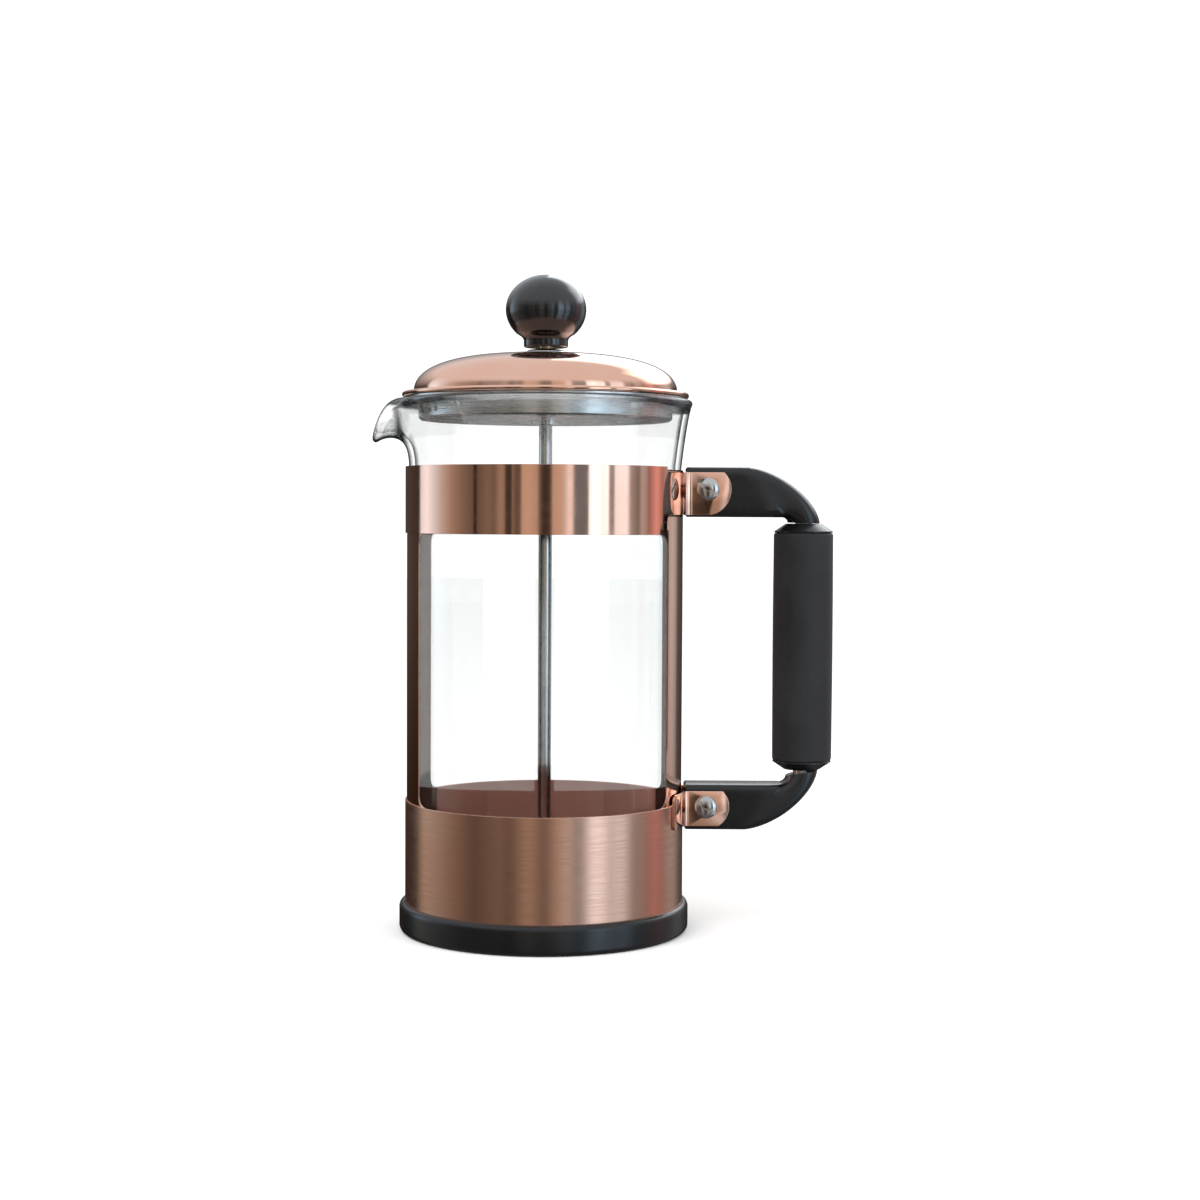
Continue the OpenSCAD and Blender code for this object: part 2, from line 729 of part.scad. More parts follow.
module filter_nut() {
    color(STEEL) translate([0, 0, filter_z]) difference() {
        union() {
            cylinder(r = 6.5, h = filter_nut_t, $fn = 6);
            translate([0, 0, filter_nut_t - 0.8]) cylinder(r = 7.5, h = 0.8);
        }
        translate([0, 0, -1]) cylinder(r = rod_r + face_gap, h = filter_nut_t + 2);
    }
}

base_cup();
beaker_cushion();
lower_band();
upper_band();
spout_side_post();
handle_side_post();
lower_front_clip();
lower_rear_clip();
upper_handle_arm();
lower_handle_arm();
grip_core_rod();
grip_tube();
grip_sleeve();
upper_grip_collar();
lower_grip_collar();
upper_screw();
lower_screw();
upper_nut();
lower_nut();
glass_beaker();
lid_bushing();
lid_bushing_ring();
lid_dome();
lid_strainer();
lid_spacer();
plunger_rod();
plunger_knob();
knob_insert();
filter_hub();
spring_plate();
edge_coil();
mesh_disc();
cross_plate();
filter_nut();
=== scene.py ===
"""A french press: a spouted glass beaker in a copper sheet frame, with a black handle and a lid
that carries the plunger. It builds the press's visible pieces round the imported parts."""

import math
from types import SimpleNamespace

import bmesh
import bpy
from bpy.props import FloatProperty, FloatVectorProperty, PointerProperty
from mathutils import Matrix, Vector


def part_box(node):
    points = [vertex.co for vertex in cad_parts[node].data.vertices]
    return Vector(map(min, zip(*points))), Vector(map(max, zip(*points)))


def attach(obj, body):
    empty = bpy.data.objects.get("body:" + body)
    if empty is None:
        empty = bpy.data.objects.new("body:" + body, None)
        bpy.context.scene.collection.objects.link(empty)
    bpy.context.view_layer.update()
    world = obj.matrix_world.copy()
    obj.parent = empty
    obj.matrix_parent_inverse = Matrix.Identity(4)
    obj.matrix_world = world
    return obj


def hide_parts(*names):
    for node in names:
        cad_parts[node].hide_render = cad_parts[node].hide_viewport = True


bl_info = {
    "name": "French Press",
    "version": (1, 0, 0),
    "blender": (4, 5, 0),
    "location": "3D View > Sidebar > French Press",
    "description": "Models a glass and copper french press round its packed parts",
    "category": "Add Mesh",
}

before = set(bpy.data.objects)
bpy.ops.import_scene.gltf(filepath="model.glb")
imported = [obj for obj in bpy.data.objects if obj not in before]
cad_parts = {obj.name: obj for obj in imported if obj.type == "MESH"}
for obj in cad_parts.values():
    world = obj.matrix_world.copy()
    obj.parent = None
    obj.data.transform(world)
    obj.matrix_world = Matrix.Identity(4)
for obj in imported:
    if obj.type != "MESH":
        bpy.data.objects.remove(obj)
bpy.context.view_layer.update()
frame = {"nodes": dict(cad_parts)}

MM = 0.001
X, Y, Z = 0, 1, 2
FULL_TURN = 2 * math.pi
HAIR = 0.05  # gap between two pieces that bear on each other, in millimetres
SMOOTH_ANGLE = math.radians(32)
LATHE_STEPS = 160
SMALL_LATHE_STEPS = 96
BAND_STEPS = 192
DRILL_SIDES = 48
DRILL_DEPTH = 80
SCREW_PLAY = 0.2  # how much wider a screw's hole is than the screw, in radius, in millimetres
SOCKET_DEPTH = 14  # length of the drill that makes an arm's socket; half of it goes in


def low(node, axis):
    """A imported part's lowest coordinate on one axis, in millimetres."""
    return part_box(node)[0][axis] / MM


def high(node, axis):
    """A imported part's highest coordinate on one axis, in millimetres."""
    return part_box(node)[1][axis] / MM


# Values that a user can change ------------------------------------------------------------


def length(name, description, millimetres):
    """A length that the panel shows, kept in metres."""
    return FloatProperty(
        name=name, description=description, default=millimetres * MM, unit="LENGTH", precision=4
    )


def colour(name, description, value):
    return FloatVectorProperty(
        name=name, description=description, default=value, subtype="COLOR", size=3, min=0, max=1
    )


class BeakerSizes(bpy.types.PropertyGroup):
    wall: length("Wall", "Thickness of the glass wall", 2.2)
    floor: length("Floor", "Thickness of the glass floor", 2.6)
    foot_round: length("Foot rounding", "Radius of the rounded corner round the foot", 7)
    bead: length("Bead", "Diameter of the bead melted round the rim", 2.5)
    rim_flare: length("Rim flare", "How far the rim stands out from the wall", 3.7)
    flare_height: length("Flare height", "Height over which the wall flares to the rim", 24)
    spout_reach: length("Spout reach", "How far the spout's tip stands out from the wall", 13.2)
    spout_drop: length("Spout drop", "How far the spout's tip lies below the rim", 12.9)
    spout_half_angle: FloatProperty(
        name="Spout half angle",
        description="Half of the angle that the spout takes from the rim",
        default=math.radians(25),
        subtype="ANGLE",
    )


class FrameSizes(bpy.types.PropertyGroup):
    beaker_gap: length("Beaker gap", "Gap between the glass and the frame", 0.3)
    post: length("Post sheet", "Thickness of the posts' sheet", 0.4)
    band: length("Band sheet", "Thickness of the bands' sheet", 0.5)
    clip: length("Clip sheet", "Thickness of the lower clips' sheet", 0.8)
    post_width: length("Post width", "Width of a post across its chord", 48)
    post_fillet: length("Post fillet", "Radius of a post's corners at the bands", 3.5)
    edge: length("Edge rounding", "Rounding of the sheets' edges", 0.12)
    base_round: length("Base rounding", "Radius of the base's lower edge", 2.2)


class HandleSizes(bpy.types.PropertyGroup):
    arm: length("Arm", "Thickness of the arms, front to back", 15)
    neck: length("Neck", "Diameter of the arms' round necks", 11.6)
    core: length("Core", "Diameter of the steel rod through the grip", 6)
    sleeve: length("Sleeve", "Thickness of the rubber sleeve", 3.4)
    shoulder: length("Shoulder", "Height of the cone at each end of the grip", 3.3)
    screw: length("Screw", "Diameter of the handle screws", 4)
    head: length("Screw head", "Diameter of the slotted heads", 8.2)
    head_height: length("Head height", "Height of the slotted heads", 2.6)
    slot: length("Screw slot", "Width of the screwdriver slot", 1.2)
    slot_turn: FloatProperty(
        name="Slot turn",
        description="Angle of the screwdriver slots from level",
        default=math.radians(-33),
        subtype="ANGLE",
    )


class LidSizes(bpy.types.PropertyGroup):
    sheet: length("Lid sheet", "Thickness of the lid's sheet", 0.7)
    dome: length("Dome", "Height of the dome above its flange", 15)


class PlungerSizes(bpy.types.PropertyGroup):
    rod: length("Rod", "Diameter of the plunger rod", 4.8)
    coil_wire: length("Coil wire", "Diameter of the wire of the filter's edge coil", 0.75)
    coil_pitch: length("Coil pitch", "Spacing of the edge coil's turns", 1.15)
    mesh_pitch: length("Mesh pitch", "Spacing of the filter mesh's wires", 0.5)


class PressColours(bpy.types.PropertyGroup):
    copper: colour("Copper", "Colour of the copper plating", (0.90, 0.56, 0.44))
    plastic: colour("Plastic", "Colour of the moulded parts", (0.0032, 0.0036, 0.0044))
    rubber: colour("Rubber", "Colour of the grip", (0.0100, 0.0105, 0.0118))
    steel: colour("Steel", "Colour of the stainless steel", (0.62, 0.61, 0.60))
    brass: colour("Brass", "Colour of the brass insert", (0.80, 0.58, 0.28))
    floor: colour("Floor", "Colour of the studio floor", (0.86, 0.86, 0.86))


GROUPS = {
    "beaker": BeakerSizes,
    "frame": FrameSizes,
    "handle": HandleSizes,
    "lid": LidSizes,
    "plunger": PlungerSizes,
    "colours": PressColours,
}


class FrenchPress(bpy.types.PropertyGroup):
    """All of the press's values, as the panel lists them."""

    beaker: PointerProperty(type=BeakerSizes)
    frame: PointerProperty(type=FrameSizes)
    handle: PointerProperty(type=HandleSizes)
    lid: PointerProperty(type=LidSizes)
    plunger: PointerProperty(type=PlungerSizes)
    colours: PointerProperty(type=PressColours)


def in_mm(group):
    """A group's values by name: lengths in millimetres, and everything else as it is."""
    values = {}
    for prop in group.bl_rna.properties:
        if prop.identifier in ("rna_type", "name"):
            continue
        value = getattr(group, prop.identifier)
        values[prop.identifier] = value / MM if prop.unit == "LENGTH" else value
    return SimpleNamespace(**values)


def press_sizes():
    """The sizes that several pieces share, in millimetres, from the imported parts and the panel."""
    press = bpy.context.scene.french_press
    s = SimpleNamespace(
        glass=in_mm(press.beaker),
        frame=in_mm(press.frame),
        handle=in_mm(press.handle),
        lid=in_mm(press.lid),
        plunger=in_mm(press.plunger),
    )
    s.frame_r = high("lower_band", X)
    s.band_r = s.frame_r - s.frame.band
    s.post_r = high("handle_side_post", X) - s.frame.post
    s.beaker_r = s.post_r - s.frame.beaker_gap
    s.inner_r = s.beaker_r - s.glass.wall
    s.wall_r = s.beaker_r - s.glass.wall / 2
    s.foot_z = low("glass_beaker", Z)
    s.rim_z = high("glass_beaker", Z)
    s.flare_z = s.rim_z - s.glass.flare_height
    s.screw_x = (low("upper_screw", X) + high("upper_screw", X)) / 2
    s.upper_screw_z = (low("upper_screw", Z) + high("upper_screw", Z)) / 2
    s.lower_screw_z = (low("lower_screw", Z) + high("lower_screw", Z)) / 2
    s.ear_y = s.handle.arm / 2 + 2 * HAIR
    s.grip_x = (low("grip_sleeve", X) + high("grip_sleeve", X)) / 2
    s.grip_r = (high("grip_sleeve", X) - low("grip_sleeve", X)) / 2
    s.rod_r = s.plunger.rod / 2
    return s


# Curves, in millimetres -------------------------------------------------------------------


def lerp(a, b, t):
    return a * (1 - t) + b * t


def arc(centre, radius, start, end, steps):
    """Points round part of a circle, or of an ellipse where radius is a pair. Angles in degrees."""
    wide, tall = radius if isinstance(radius, tuple) else (radius, radius)
    angles = [math.radians(lerp(start, end, i / steps)) for i in range(steps + 1)]
    return [(centre[0] + wide * math.cos(a), centre[1] + tall * math.sin(a)) for a in angles]


def bezier(points, steps):
    a, b, c, d = (Vector(p) for p in points)
    curve = []
    for i in range(steps + 1):
        t = i / steps
        r = 1 - t
        curve.append(a * r**3 + b * 3 * r * r * t + c * 3 * r * t * t + d * t**3)
    return curve


def heading(path, i):
    """The direction of a path at its point i."""
    return (path[min(i + 1, len(path) - 1)] - path[max(i - 1, 0)]).normalized()


def beside(path, distance):
    """The path moved sideways, to its right where distance is positive."""
    moved = []
    for i, point in enumerate(path):
        ahead = heading(path, i)
        moved.append(point + Vector((ahead.y, -ahead.x)) * distance)
    return moved


def sheet_outline(path, thickness):
    """A closed outline of a sheet whose middle follows the path, with rounded ends."""
    path = [Vector(p) for p in path]
    radius = thickness / 2
    outline = beside(path, radius)
    for end, away in ((len(path) - 1, 1), (0, -1)):
        ahead = heading(path, end) * away
        side = Vector((ahead.y, -ahead.x))
        for turn in (30, 60, 90, 120, 150):
            a = math.radians(turn)
            outline.append(path[end] + (side * math.cos(a) + ahead * math.sin(a)) * radius)
        if away > 0:
            outline += reversed(beside(path, -radius))
    return [tuple(p) for p in outline]


def rounded_box(r_in, r_out, z0, z1, edge):
    """The closed outline of a tube's wall, with its four corners rounded."""
    return (
        arc((r_out - edge, z0 + edge), edge, -90, 0, 3)
        + arc((r_out - edge, z1 - edge), edge, 0, 90, 3)
        + arc((r_in + edge, z1 - edge), edge, 90, 180, 3)
        + arc((r_in + edge, z0 + edge), edge, 180, 270, 3)
    )


# Modelling steps --------------------------------------------------------------------------


def deselect_all():
    bpy.ops.object.select_all(action="DESELECT")


def settle(name):
    """Names the new object after its piece and moves its place into its mesh."""
    piece = bpy.context.object
    piece.name = name
    piece.data.name = name
    bpy.ops.object.transform_apply(location=True, rotation=True, scale=True)
    return piece


def activate(piece):
    deselect_all()
    piece.select_set(True)
    bpy.context.view_layer.objects.active = piece


def trace(name, points, closed):
    """Extrudes a single vertex along the points, and joins its end to its start if closed."""
    points = [Vector(p) * MM for p in points]
    deselect_all()
    bpy.ops.mesh.primitive_plane_add(size=MM, location=points[0])
    piece = settle(name)
    bpy.ops.object.mode_set(mode="EDIT")
    bpy.ops.mesh.select_all(action="SELECT")
    bpy.ops.mesh.merge(type="CENTER")
    for here, there in zip(points, points[1:] + (points[:1] if closed else [])):
        bpy.ops.mesh.extrude_region_move(TRANSFORM_OT_translate={"value": there - here})
    bpy.ops.mesh.select_all(action="SELECT")
    bpy.ops.mesh.remove_doubles(threshold=MM / 1000)
    return piece


def close_mesh():
    """Merges doubles, turns the faces outwards and leaves edit mode."""
    bpy.ops.mesh.select_all(action="SELECT")
    bpy.ops.mesh.remove_doubles(threshold=MM / 1000)
    bpy.ops.mesh.normals_make_consistent(inside=False)
    bpy.ops.object.mode_set(mode="OBJECT")


def smooth(piece, angle=SMOOTH_ANGLE):
    activate(piece)
    bpy.ops.object.shade_smooth_by_angle(angle=angle)


def lathe(name, profile, closed=False, x=0.0, steps=LATHE_STEPS):
    """Spins a profile of (radius, height) round an upright axis at x. A closed profile makes a ring."""
    piece = trace(name, [(x + r, 0, z) for r, z in profile], closed)
    bpy.ops.mesh.spin(steps=steps, angle=FULL_TURN, center=(x * MM, 0, 0), axis=(0, 0, 1))
    close_mesh()
    smooth(piece)
    return piece


def loft(name, rings):
    """Extrudes a disc ring by ring, and moves each new ring's vertices into place."""
    deselect_all()
    bpy.ops.mesh.primitive_circle_add(vertices=len(rings[0]), radius=MM, fill_type="NGON")
    piece = settle(name)
    bpy.ops.object.mode_set(mode="EDIT")
    bpy.ops.mesh.select_all(action="SELECT")
    mesh = bmesh.from_edit_mesh(piece.data)
    number = mesh.verts.layers.int.new("number")
    for i, vertex in enumerate(mesh.verts):
        vertex[number] = i
    for i, ring in enumerate(rings):
        if i:
            bpy.ops.mesh.extrude_region_move()
        mesh = bmesh.from_edit_mesh(piece.data)
        number = mesh.verts.layers.int["number"]
        for vertex in mesh.verts:
            if vertex.select:
                vertex.co = Vector(ring[vertex[number]]) * MM
        bmesh.update_edit_mesh(piece.data)
    mesh.verts.layers.int.remove(number)
    close_mesh()
    smooth(piece)
    return piece


def modify(piece, kind, **settings):
    """Adds a modifier with these settings and applies it."""
    activate(piece)
    modifier = piece.modifiers.new(kind.title(), kind)
    for setting, value in settings.items():
        setattr(modifier, setting, value)
    bpy.ops.object.modifier_apply(modifier=modifier.name)


def bevel(piece, width, angle):
    """Rounds the edges sharper than the angle, in degrees. Width is in millimetres."""
    settings = {"segments": 2, "limit_method": "ANGLE", "angle_limit": math.radians(angle)}
    modify(piece, "BEVEL", width=width * MM, **settings)


def level(piece, reach):
    """Weighs the shading by the faces' sizes up to x = reach, so that a wide face there stays flat
    up to its round edge."""
    wide = piece.vertex_groups.new(name="wide_faces")
    wide.add([v.index for v in piece.data.vertices if v.co.x < reach * MM], 1, "REPLACE")
    modify(piece, "WEIGHTED_NORMAL", keep_sharp=True, vertex_group=wide.name)
    piece.vertex_groups.clear()


def cut(piece, cutter):
    """Takes the cutter's shape out of the piece, and the cutter out of the scene."""
    modify(piece, "BOOLEAN", object=cutter, operation="DIFFERENCE", solver="EXACT")
    bpy.data.meshes.remove(cutter.data)


def bore(piece, x, z, radius):
    """Drills through a piece from front to back."""
    deselect_all()
    bpy.ops.mesh.primitive_cylinder_add(
        vertices=DRILL_SIDES,
        radius=radius * MM,
        depth=DRILL_DEPTH * MM,
        location=(x * MM, 0, z * MM),
        rotation=(math.pi / 2, 0, 0),
    )
    cut(piece, settle("drill"))


def bent_sheet(name, outline, thickness, edge, stations, place):
    """Cuts a flat blank across at the stations, bends it by moving its vertices, and thickens it.
    The outline is in millimetres along the sheet and up it, and place(s, z) says where that goes."""
    piece = trace(name, [(s, 0, z) for s, z in outline], True)
    bpy.ops.mesh.edge_face_add()
    for station in stations:
        bpy.ops.mesh.select_all(action="SELECT")
        bpy.ops.mesh.bisect(plane_co=(station * MM, 0, 0), plane_no=(1, 0, 0))
    mesh = bmesh.from_edit_mesh(piece.data)
    for vertex in mesh.verts:
        vertex.co = Vector(place(vertex.co.x / MM, vertex.co.z / MM)) * MM
    bmesh.update_edit_mesh(piece.data)
    close_mesh()
    modify(piece, "SOLIDIFY", thickness=thickness * MM, offset=0)
    bevel(piece, edge, 50)
    smooth(piece)
    return piece


def spaced(start, end, step):
    """Values from start to end, about one step apart, without the two ends."""
    count = max(1, round(abs(end - start) / step))
    return [lerp(start, end, i / count) for i in range(1, count)]


def finish(piece, body, slot, material, *nodes):
    """Gives a piece its material and says which body it rides on and which parts it stands for."""
    piece.data.materials.clear()
    piece.data.materials.append(material)
    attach(piece, body)
    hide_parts(*nodes)


def refinish(node, material):
    """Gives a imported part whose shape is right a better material."""
    piece = frame["nodes"][node]
    if not piece.material_slots:
        piece.data.materials.append(material)
    for slot in piece.material_slots:
        slot.material = material


# Materials --------------------------------------------------------------------------------


def add(tree, kind, inputs=(), **settings):
    """Adds a node, sets or links its inputs, and returns it."""
    made = tree.nodes.new(kind)
    for setting, value in settings.items():
        setattr(made, setting, value)
    for socket, value in dict(inputs).items():
        if isinstance(value, bpy.types.NodeSocket):
            tree.links.new(value, made.inputs[socket])
        else:
            made.inputs[socket].default_value = value
    return made


def calc(tree, operation, first, second):
    """The result of a calculation on two values, either of which may be a plain number."""
    inputs = {0: first, 1: second}
    return add(tree, "ShaderNodeMath", inputs, operation=operation).outputs[0]


def new_finish(name, **sockets):
    """A node material with these values on its shader, and its node tree and shader."""
    if name in bpy.data.materials:
        return bpy.data.materials[name], None, None
    material = bpy.data.materials.new(name)
    material.use_nodes = True
    tree = material.node_tree
    shader = tree.nodes["Principled BSDF"]
    for socket, value in sockets.items():
        shader.inputs[socket.replace("_", " ")].default_value = value
    return material, tree, shader


def grain(tree, scale, detail=3.0, stretch=(1, 1, 1)):
    """Noise on object coordinates, with scale as grains per metre, stretched by an axis."""
    place = add(tree, "ShaderNodeTexCoord").outputs["Object"]
    mapped = add(tree, "ShaderNodeMapping", {"Vector": place, "Scale": stretch}).outputs[0]
    noise = add(tree, "ShaderNodeTexNoise", {"Vector": mapped, "Scale": scale, "Detail": detail})
    return noise.outputs["Fac"]


def spread(tree, value, start, end, old=(0.3, 0.7)):
    """Maps a value from its old range onto a new one, and holds it at the ends."""
    inputs = {"Value": value, "From Min": old[0], "From Max": old[1], "To Min": start, "To Max": end}
    return add(tree, "ShaderNodeMapRange", inputs).outputs[0]


def blend_colours(tree, factor, first, second):
    """Mixes two colours by a factor."""
    made = tree.nodes.new("ShaderNodeMix")
    made.data_type = "RGBA"
    sockets = {s.identifier: s for s in made.inputs}
    tree.links.new(factor, sockets["Factor_Float"])
    for socket, value in (("A_Color", first), ("B_Color", second)):
        if isinstance(value, bpy.types.NodeSocket):
            tree.links.new(value, sockets[socket])
        else:
            sockets[socket].default_value = (*value, 1)
    return next(s for s in made.outputs if s.identifier == "Result_Color")


def roughen(tree, shader, height, strength, distance):
    """Bumps the surface by a height value. Distance is in millimetres."""
    inputs = {"Height": height, "Strength": strength, "Distance": distance * MM}
    tree.links.new(add(tree, "ShaderNodeBump", inputs).outputs[0], shader.inputs["Normal"])


def scaled(value, factor):
    return tuple(min(1, channel * factor) for channel in value)


def inner_side(tree):
    """1 on faces that look in towards the press's axis, 0 on those that look out; it masks the copper's
    painted inner shade.
    """
    place = add(tree, "ShaderNodeTexCoord").outputs
    inputs = {0: place["Object"], 1: place["Normal"]}
    outward = add(tree, "ShaderNodeVectorMath", inputs, operation="DOT_PRODUCT").outputs["Value"]
    return spread(tree, outward, 1, 0, (-10 * MM, 0))


def polished_copper(name="polished_copper_finish", inner_painted_brightness=1.0):
    """Mirror copper: slow changes of tint, faint smears and very fine wiping marks. Its inner side gets
    a painted shade, darkened to the share of its tint that inner_painted_brightness gives."""
    material, tree, shader = new_finish(name, Metallic=1.0)
    if tree is None:
        return material
    tint = tint_of("copper")
    cloud = spread(tree, grain(tree, 35, 4), 0, 1)
    warm = (tint[0] * 0.97, tint[1] * 0.90, tint[2] * 0.84)
    toned = blend_colours(tree, cloud, tint, warm)
    # Painted shade: the side that looks in towards the axis is darkened to this share of the tint.
    if inner_painted_brightness < 1:
        toned = blend_colours(tree, inner_side(tree), toned, scaled(tint, inner_painted_brightness))
    tree.links.new(toned, shader.inputs["Base Color"])
    smear = grain(tree, 90, 6, (1, 1, 2.5))
    tree.links.new(spread(tree, smear, 0.045, 0.11), shader.inputs["Roughness"])
    roughen(tree, shader, grain(tree, 900, 2, (1, 1, 3)), 0.03, 0.02)
    return material


def brushed_copper():
    """Copper brushed round the band: fine level lines in its tint, gloss and height. Its inner side is
    only partly metallic and has a painted shade, darker and redder than its tint."""
    material, tree, shader = new_finish(
        "brushed_copper_finish", Metallic=1.0, Anisotropic=0.55
    )
    if tree is None:
        return material
    tint = scaled(tint_of("copper"), 0.96)
    lines = grain(tree, 60, 5, (1, 1, 55))
    cloud = grain(tree, 28, 3)
    dull = (tint[0] * 0.86, tint[1] * 0.80, tint[2] * 0.76)
    lined = blend_colours(tree, spread(tree, lines, 0, 1), tint, dull)
    warm = (tint[0] * 0.95, tint[1] * 0.84, tint[2] * 0.76)
    toned = blend_colours(tree, spread(tree, cloud, 0, 0.6), lined, warm)
    inside = inner_side(tree)
    # Painted shade: the side that looks in towards the axis gets a darker, redder colour.
    painted_inner_shade = blend_colours(tree, inside, toned, (0.78, 0.33, 0.25))
    tree.links.new(painted_inner_shade, shader.inputs["Base Color"])
    tree.links.new(spread(tree, inside, 1, 0.4, (0, 1)), shader.inputs["Metallic"])
    tree.links.new(spread(tree, lines, 0.17, 0.27), shader.inputs["Roughness"])
    tangent = add(tree, "ShaderNodeTangent", direction_type="RADIAL", axis="Z").outputs[0]
    tree.links.new(tangent, shader.inputs["Tangent"])
    roughen(tree, shader, lines, 0.12, 0.03)
    return material


def worn_finish(name, tint, worn, pattern, share, gloss, bump, **sockets):
    """A finish that a grain mottles from its tint to a worn one, and between two roughnesses. The
    pattern is the grain's scale, detail and stretch. The bump is another grain and its strength and
    depth, or the same grain where its scale is None."""
    material, tree, shader = new_finish(name, **sockets)
    if tree is None:
        return material
    cloud = grain(tree, *pattern)
    toned = blend_colours(tree, spread(tree, cloud, 0, share), tint, worn)
    tree.links.new(toned, shader.inputs["Base Color"])
    tree.links.new(spread(tree, cloud, *gloss), shader.inputs["Roughness"])
    scale, detail, strength, depth = bump
    height = cloud if scale is None else grain(tree, scale, detail)
    roughen(tree, shader, height, strength, depth)
    return material


def tint_of(name):
    return tuple(getattr(bpy.context.scene.french_press.colours, name))


def black_plastic():
    """Satin moulded plastic with a fine spark-eroded grain and dull patches where it is handled."""
    tint = tint_of("plastic")
    worn = tuple(channel * 1.5 + 0.0006 for channel in tint)
    bump = (2600, 2, 0.18, 0.06)
    name, shine = "black_plastic_finish", {"Specular_IOR_Level": 0.55}
    return worn_finish(name, tint, worn, (45, 5), 0.8, (0.22, 0.30), bump, **shine)


def soft_rubber():
    """Matte rubber: a dry, dusty surface with coarser grain than the plastic."""
    tint = tint_of("rubber")
    dusty = tuple(channel * 1.5 + 0.001 for channel in tint)
    bump = (1900, 3, 0.35, 0.08)
    name = "soft_rubber_finish"
    shine = {"Specular_IOR_Level": 0.32, "Sheen_Weight": 0.05, "Sheen_Roughness": 0.4}
    return worn_finish(name, tint, dusty, (60, 6), 1, (0.52, 0.66), bump, **shine)


def gloss_black():
    """Polished black plastic with faint ripples and finger smears."""
    tint = tint_of("plastic")
    bump = (160, 2, 0.05, 0.1)
    name, shine = "gloss_black_finish", {"Coat_Weight": 0.6, "Coat_Roughness": 0.05}
    return worn_finish(name, tint, scaled(tint, 1.6), (80, 5), 1, (0.12, 0.22), bump, **shine)


def clear_glass():
    """Clear glass, with painted dark edges where it is seen along its wall and at its bead and spout,
    and slow ripples in its gloss.
    """
    material, tree, shader = new_finish(
        "clear_glass_finish", Transmission_Weight=1.0, IOR=1.47
    )
    if tree is None:
        return material
    edge_on = add(tree, "ShaderNodeLayerWeight", {"Blend": 0.5}).outputs["Facing"]
    rim_z = high("glass_beaker", Z) * MM
    wall_x = high("handle_side_post", X) * MM
    place = add(tree, "ShaderNodeTexCoord").outputs["Object"]
    axes = add(tree, "ShaderNodeSeparateXYZ", {0: place}).outputs
    in_bead = spread(tree, axes["Z"], 0, 1, (rim_z - 4.5 * MM, rim_z - 2.2 * MM))
    in_spout = spread(tree, axes["X"], 0, 0.6, (-wall_x - 0.5 * MM, -wall_x - 2.5 * MM))
    thick = calc(tree, "MAXIMUM", in_bead, in_spout)
    # Painted shade: seen edge-on, and at the thick bead and spout, the glass's colour is darkened to
    # near black.
    leaning = calc(tree, "ADD", spread(tree, thick, 0, 0.62, (0, 1)), edge_on)
    edge = spread(tree, leaning, 0, 1, (0.74, 0.92))
    clear = (0.985, 0.992, 0.99)
    toned = blend_colours(tree, edge, clear, (0.035, 0.04, 0.042))
    tree.links.new(toned, shader.inputs["Base Color"])
    cloud = grain(tree, 40, 3)
    tree.links.new(spread(tree, cloud, 0.0, 0.012), shader.inputs["Roughness"])
    roughen(tree, shader, grain(tree, 22, 1), 0.04, 0.3)
    let_light_through(tree, shader, toned, spread(tree, thick, 0.88, 0, (0, 1)))
    return material


def let_light_through(tree, shader, tint, openness):
    """Lets lamps shine through glass instead of casting a solid shadow behind it, and takes a share
    of the mirroring off a thin wall."""
    shadow = add(tree, "ShaderNodeLightPath").outputs["Is Shadow Ray"]
    clear = calc(tree, "MAXIMUM", shadow, openness)
    # The see-through share carries the glass's painted dark edges in its tint.
    open_glass = add(tree, "ShaderNodeBsdfTransparent", {"Color": tint}).outputs[0]
    mixed = add(tree, "ShaderNodeMixShader", {0: clear, 1: shader.outputs[0], 2: open_glass})
    output = tree.nodes["Material Output"]
    tree.links.new(mixed.outputs[0], output.inputs["Surface"])


def steel(name, rough_low, rough_high, stretch, bump):
    """Stainless steel, brushed along the axes whose stretch is small."""
    tint, relief = tint_of("steel"), (None, None, bump, 0.03)
    gloss = (rough_low, rough_high)
    pattern = (70, 4, stretch)
    return worn_finish(name, tint, scaled(tint, 0.84), pattern, 1, gloss, relief, Metallic=1.0)


def bright_steel():
    return steel("bright_steel_finish", 0.08, 0.14, (1, 1, 1), 0.012)


def brushed_steel():
    return steel("brushed_steel_finish", 0.24, 0.36, (1, 20, 20), 0.10)


def turned_steel():
    return steel("turned_steel_finish", 0.20, 0.30, (1, 1, 40), 0.03)


def turned_brass():
    """Brass with fine turning marks round its axis."""
    tint, relief = tint_of("brass"), (None, None, 0.1, 0.03)
    name, pattern = "turned_brass_finish", (60, 4, (1, 1, 40))
    return worn_finish(name, tint, scaled(tint, 0.8), pattern, 1, (0.2, 0.32), relief, Metallic=1.0)


def woven_steel():
    """The filter's mesh: two sets of crossing wires, with painted dark shade in the gaps between them.
    """
    material, tree, shader = new_finish("woven_steel_finish", Metallic=1.0, Roughness=0.34)
    if tree is None:
        return material
    pitch = bpy.context.scene.french_press.plunger.mesh_pitch
    place = add(tree, "ShaderNodeTexCoord").outputs["Object"]
    wires = []
    for axis in ("X", "Y"):
        inputs = {"Vector": place, "Scale": FULL_TURN / pitch / 20}
        wave = add(tree, "ShaderNodeTexWave", inputs, bands_direction=axis, wave_profile="SIN")
        wires.append(wave.outputs["Fac"])
    weave = calc(tree, "MAXIMUM", *wires)
    shade = spread(tree, weave, 0, 1, (0.3, 0.85))
    tint = tint_of("steel")
    # Painted shade: the gaps between the wires are near black.
    toned = blend_colours(tree, shade, (0.03, 0.03, 0.03), tint)
    tree.links.new(toned, shader.inputs["Base Color"])
    roughen(tree, shader, weave, 0.8, 0.15)
    return material


# The press's pieces -----------------------------------------------------------------------


class PressOperator:
    """What every operator of the press shares."""

    bl_options = {"REGISTER", "UNDO"}


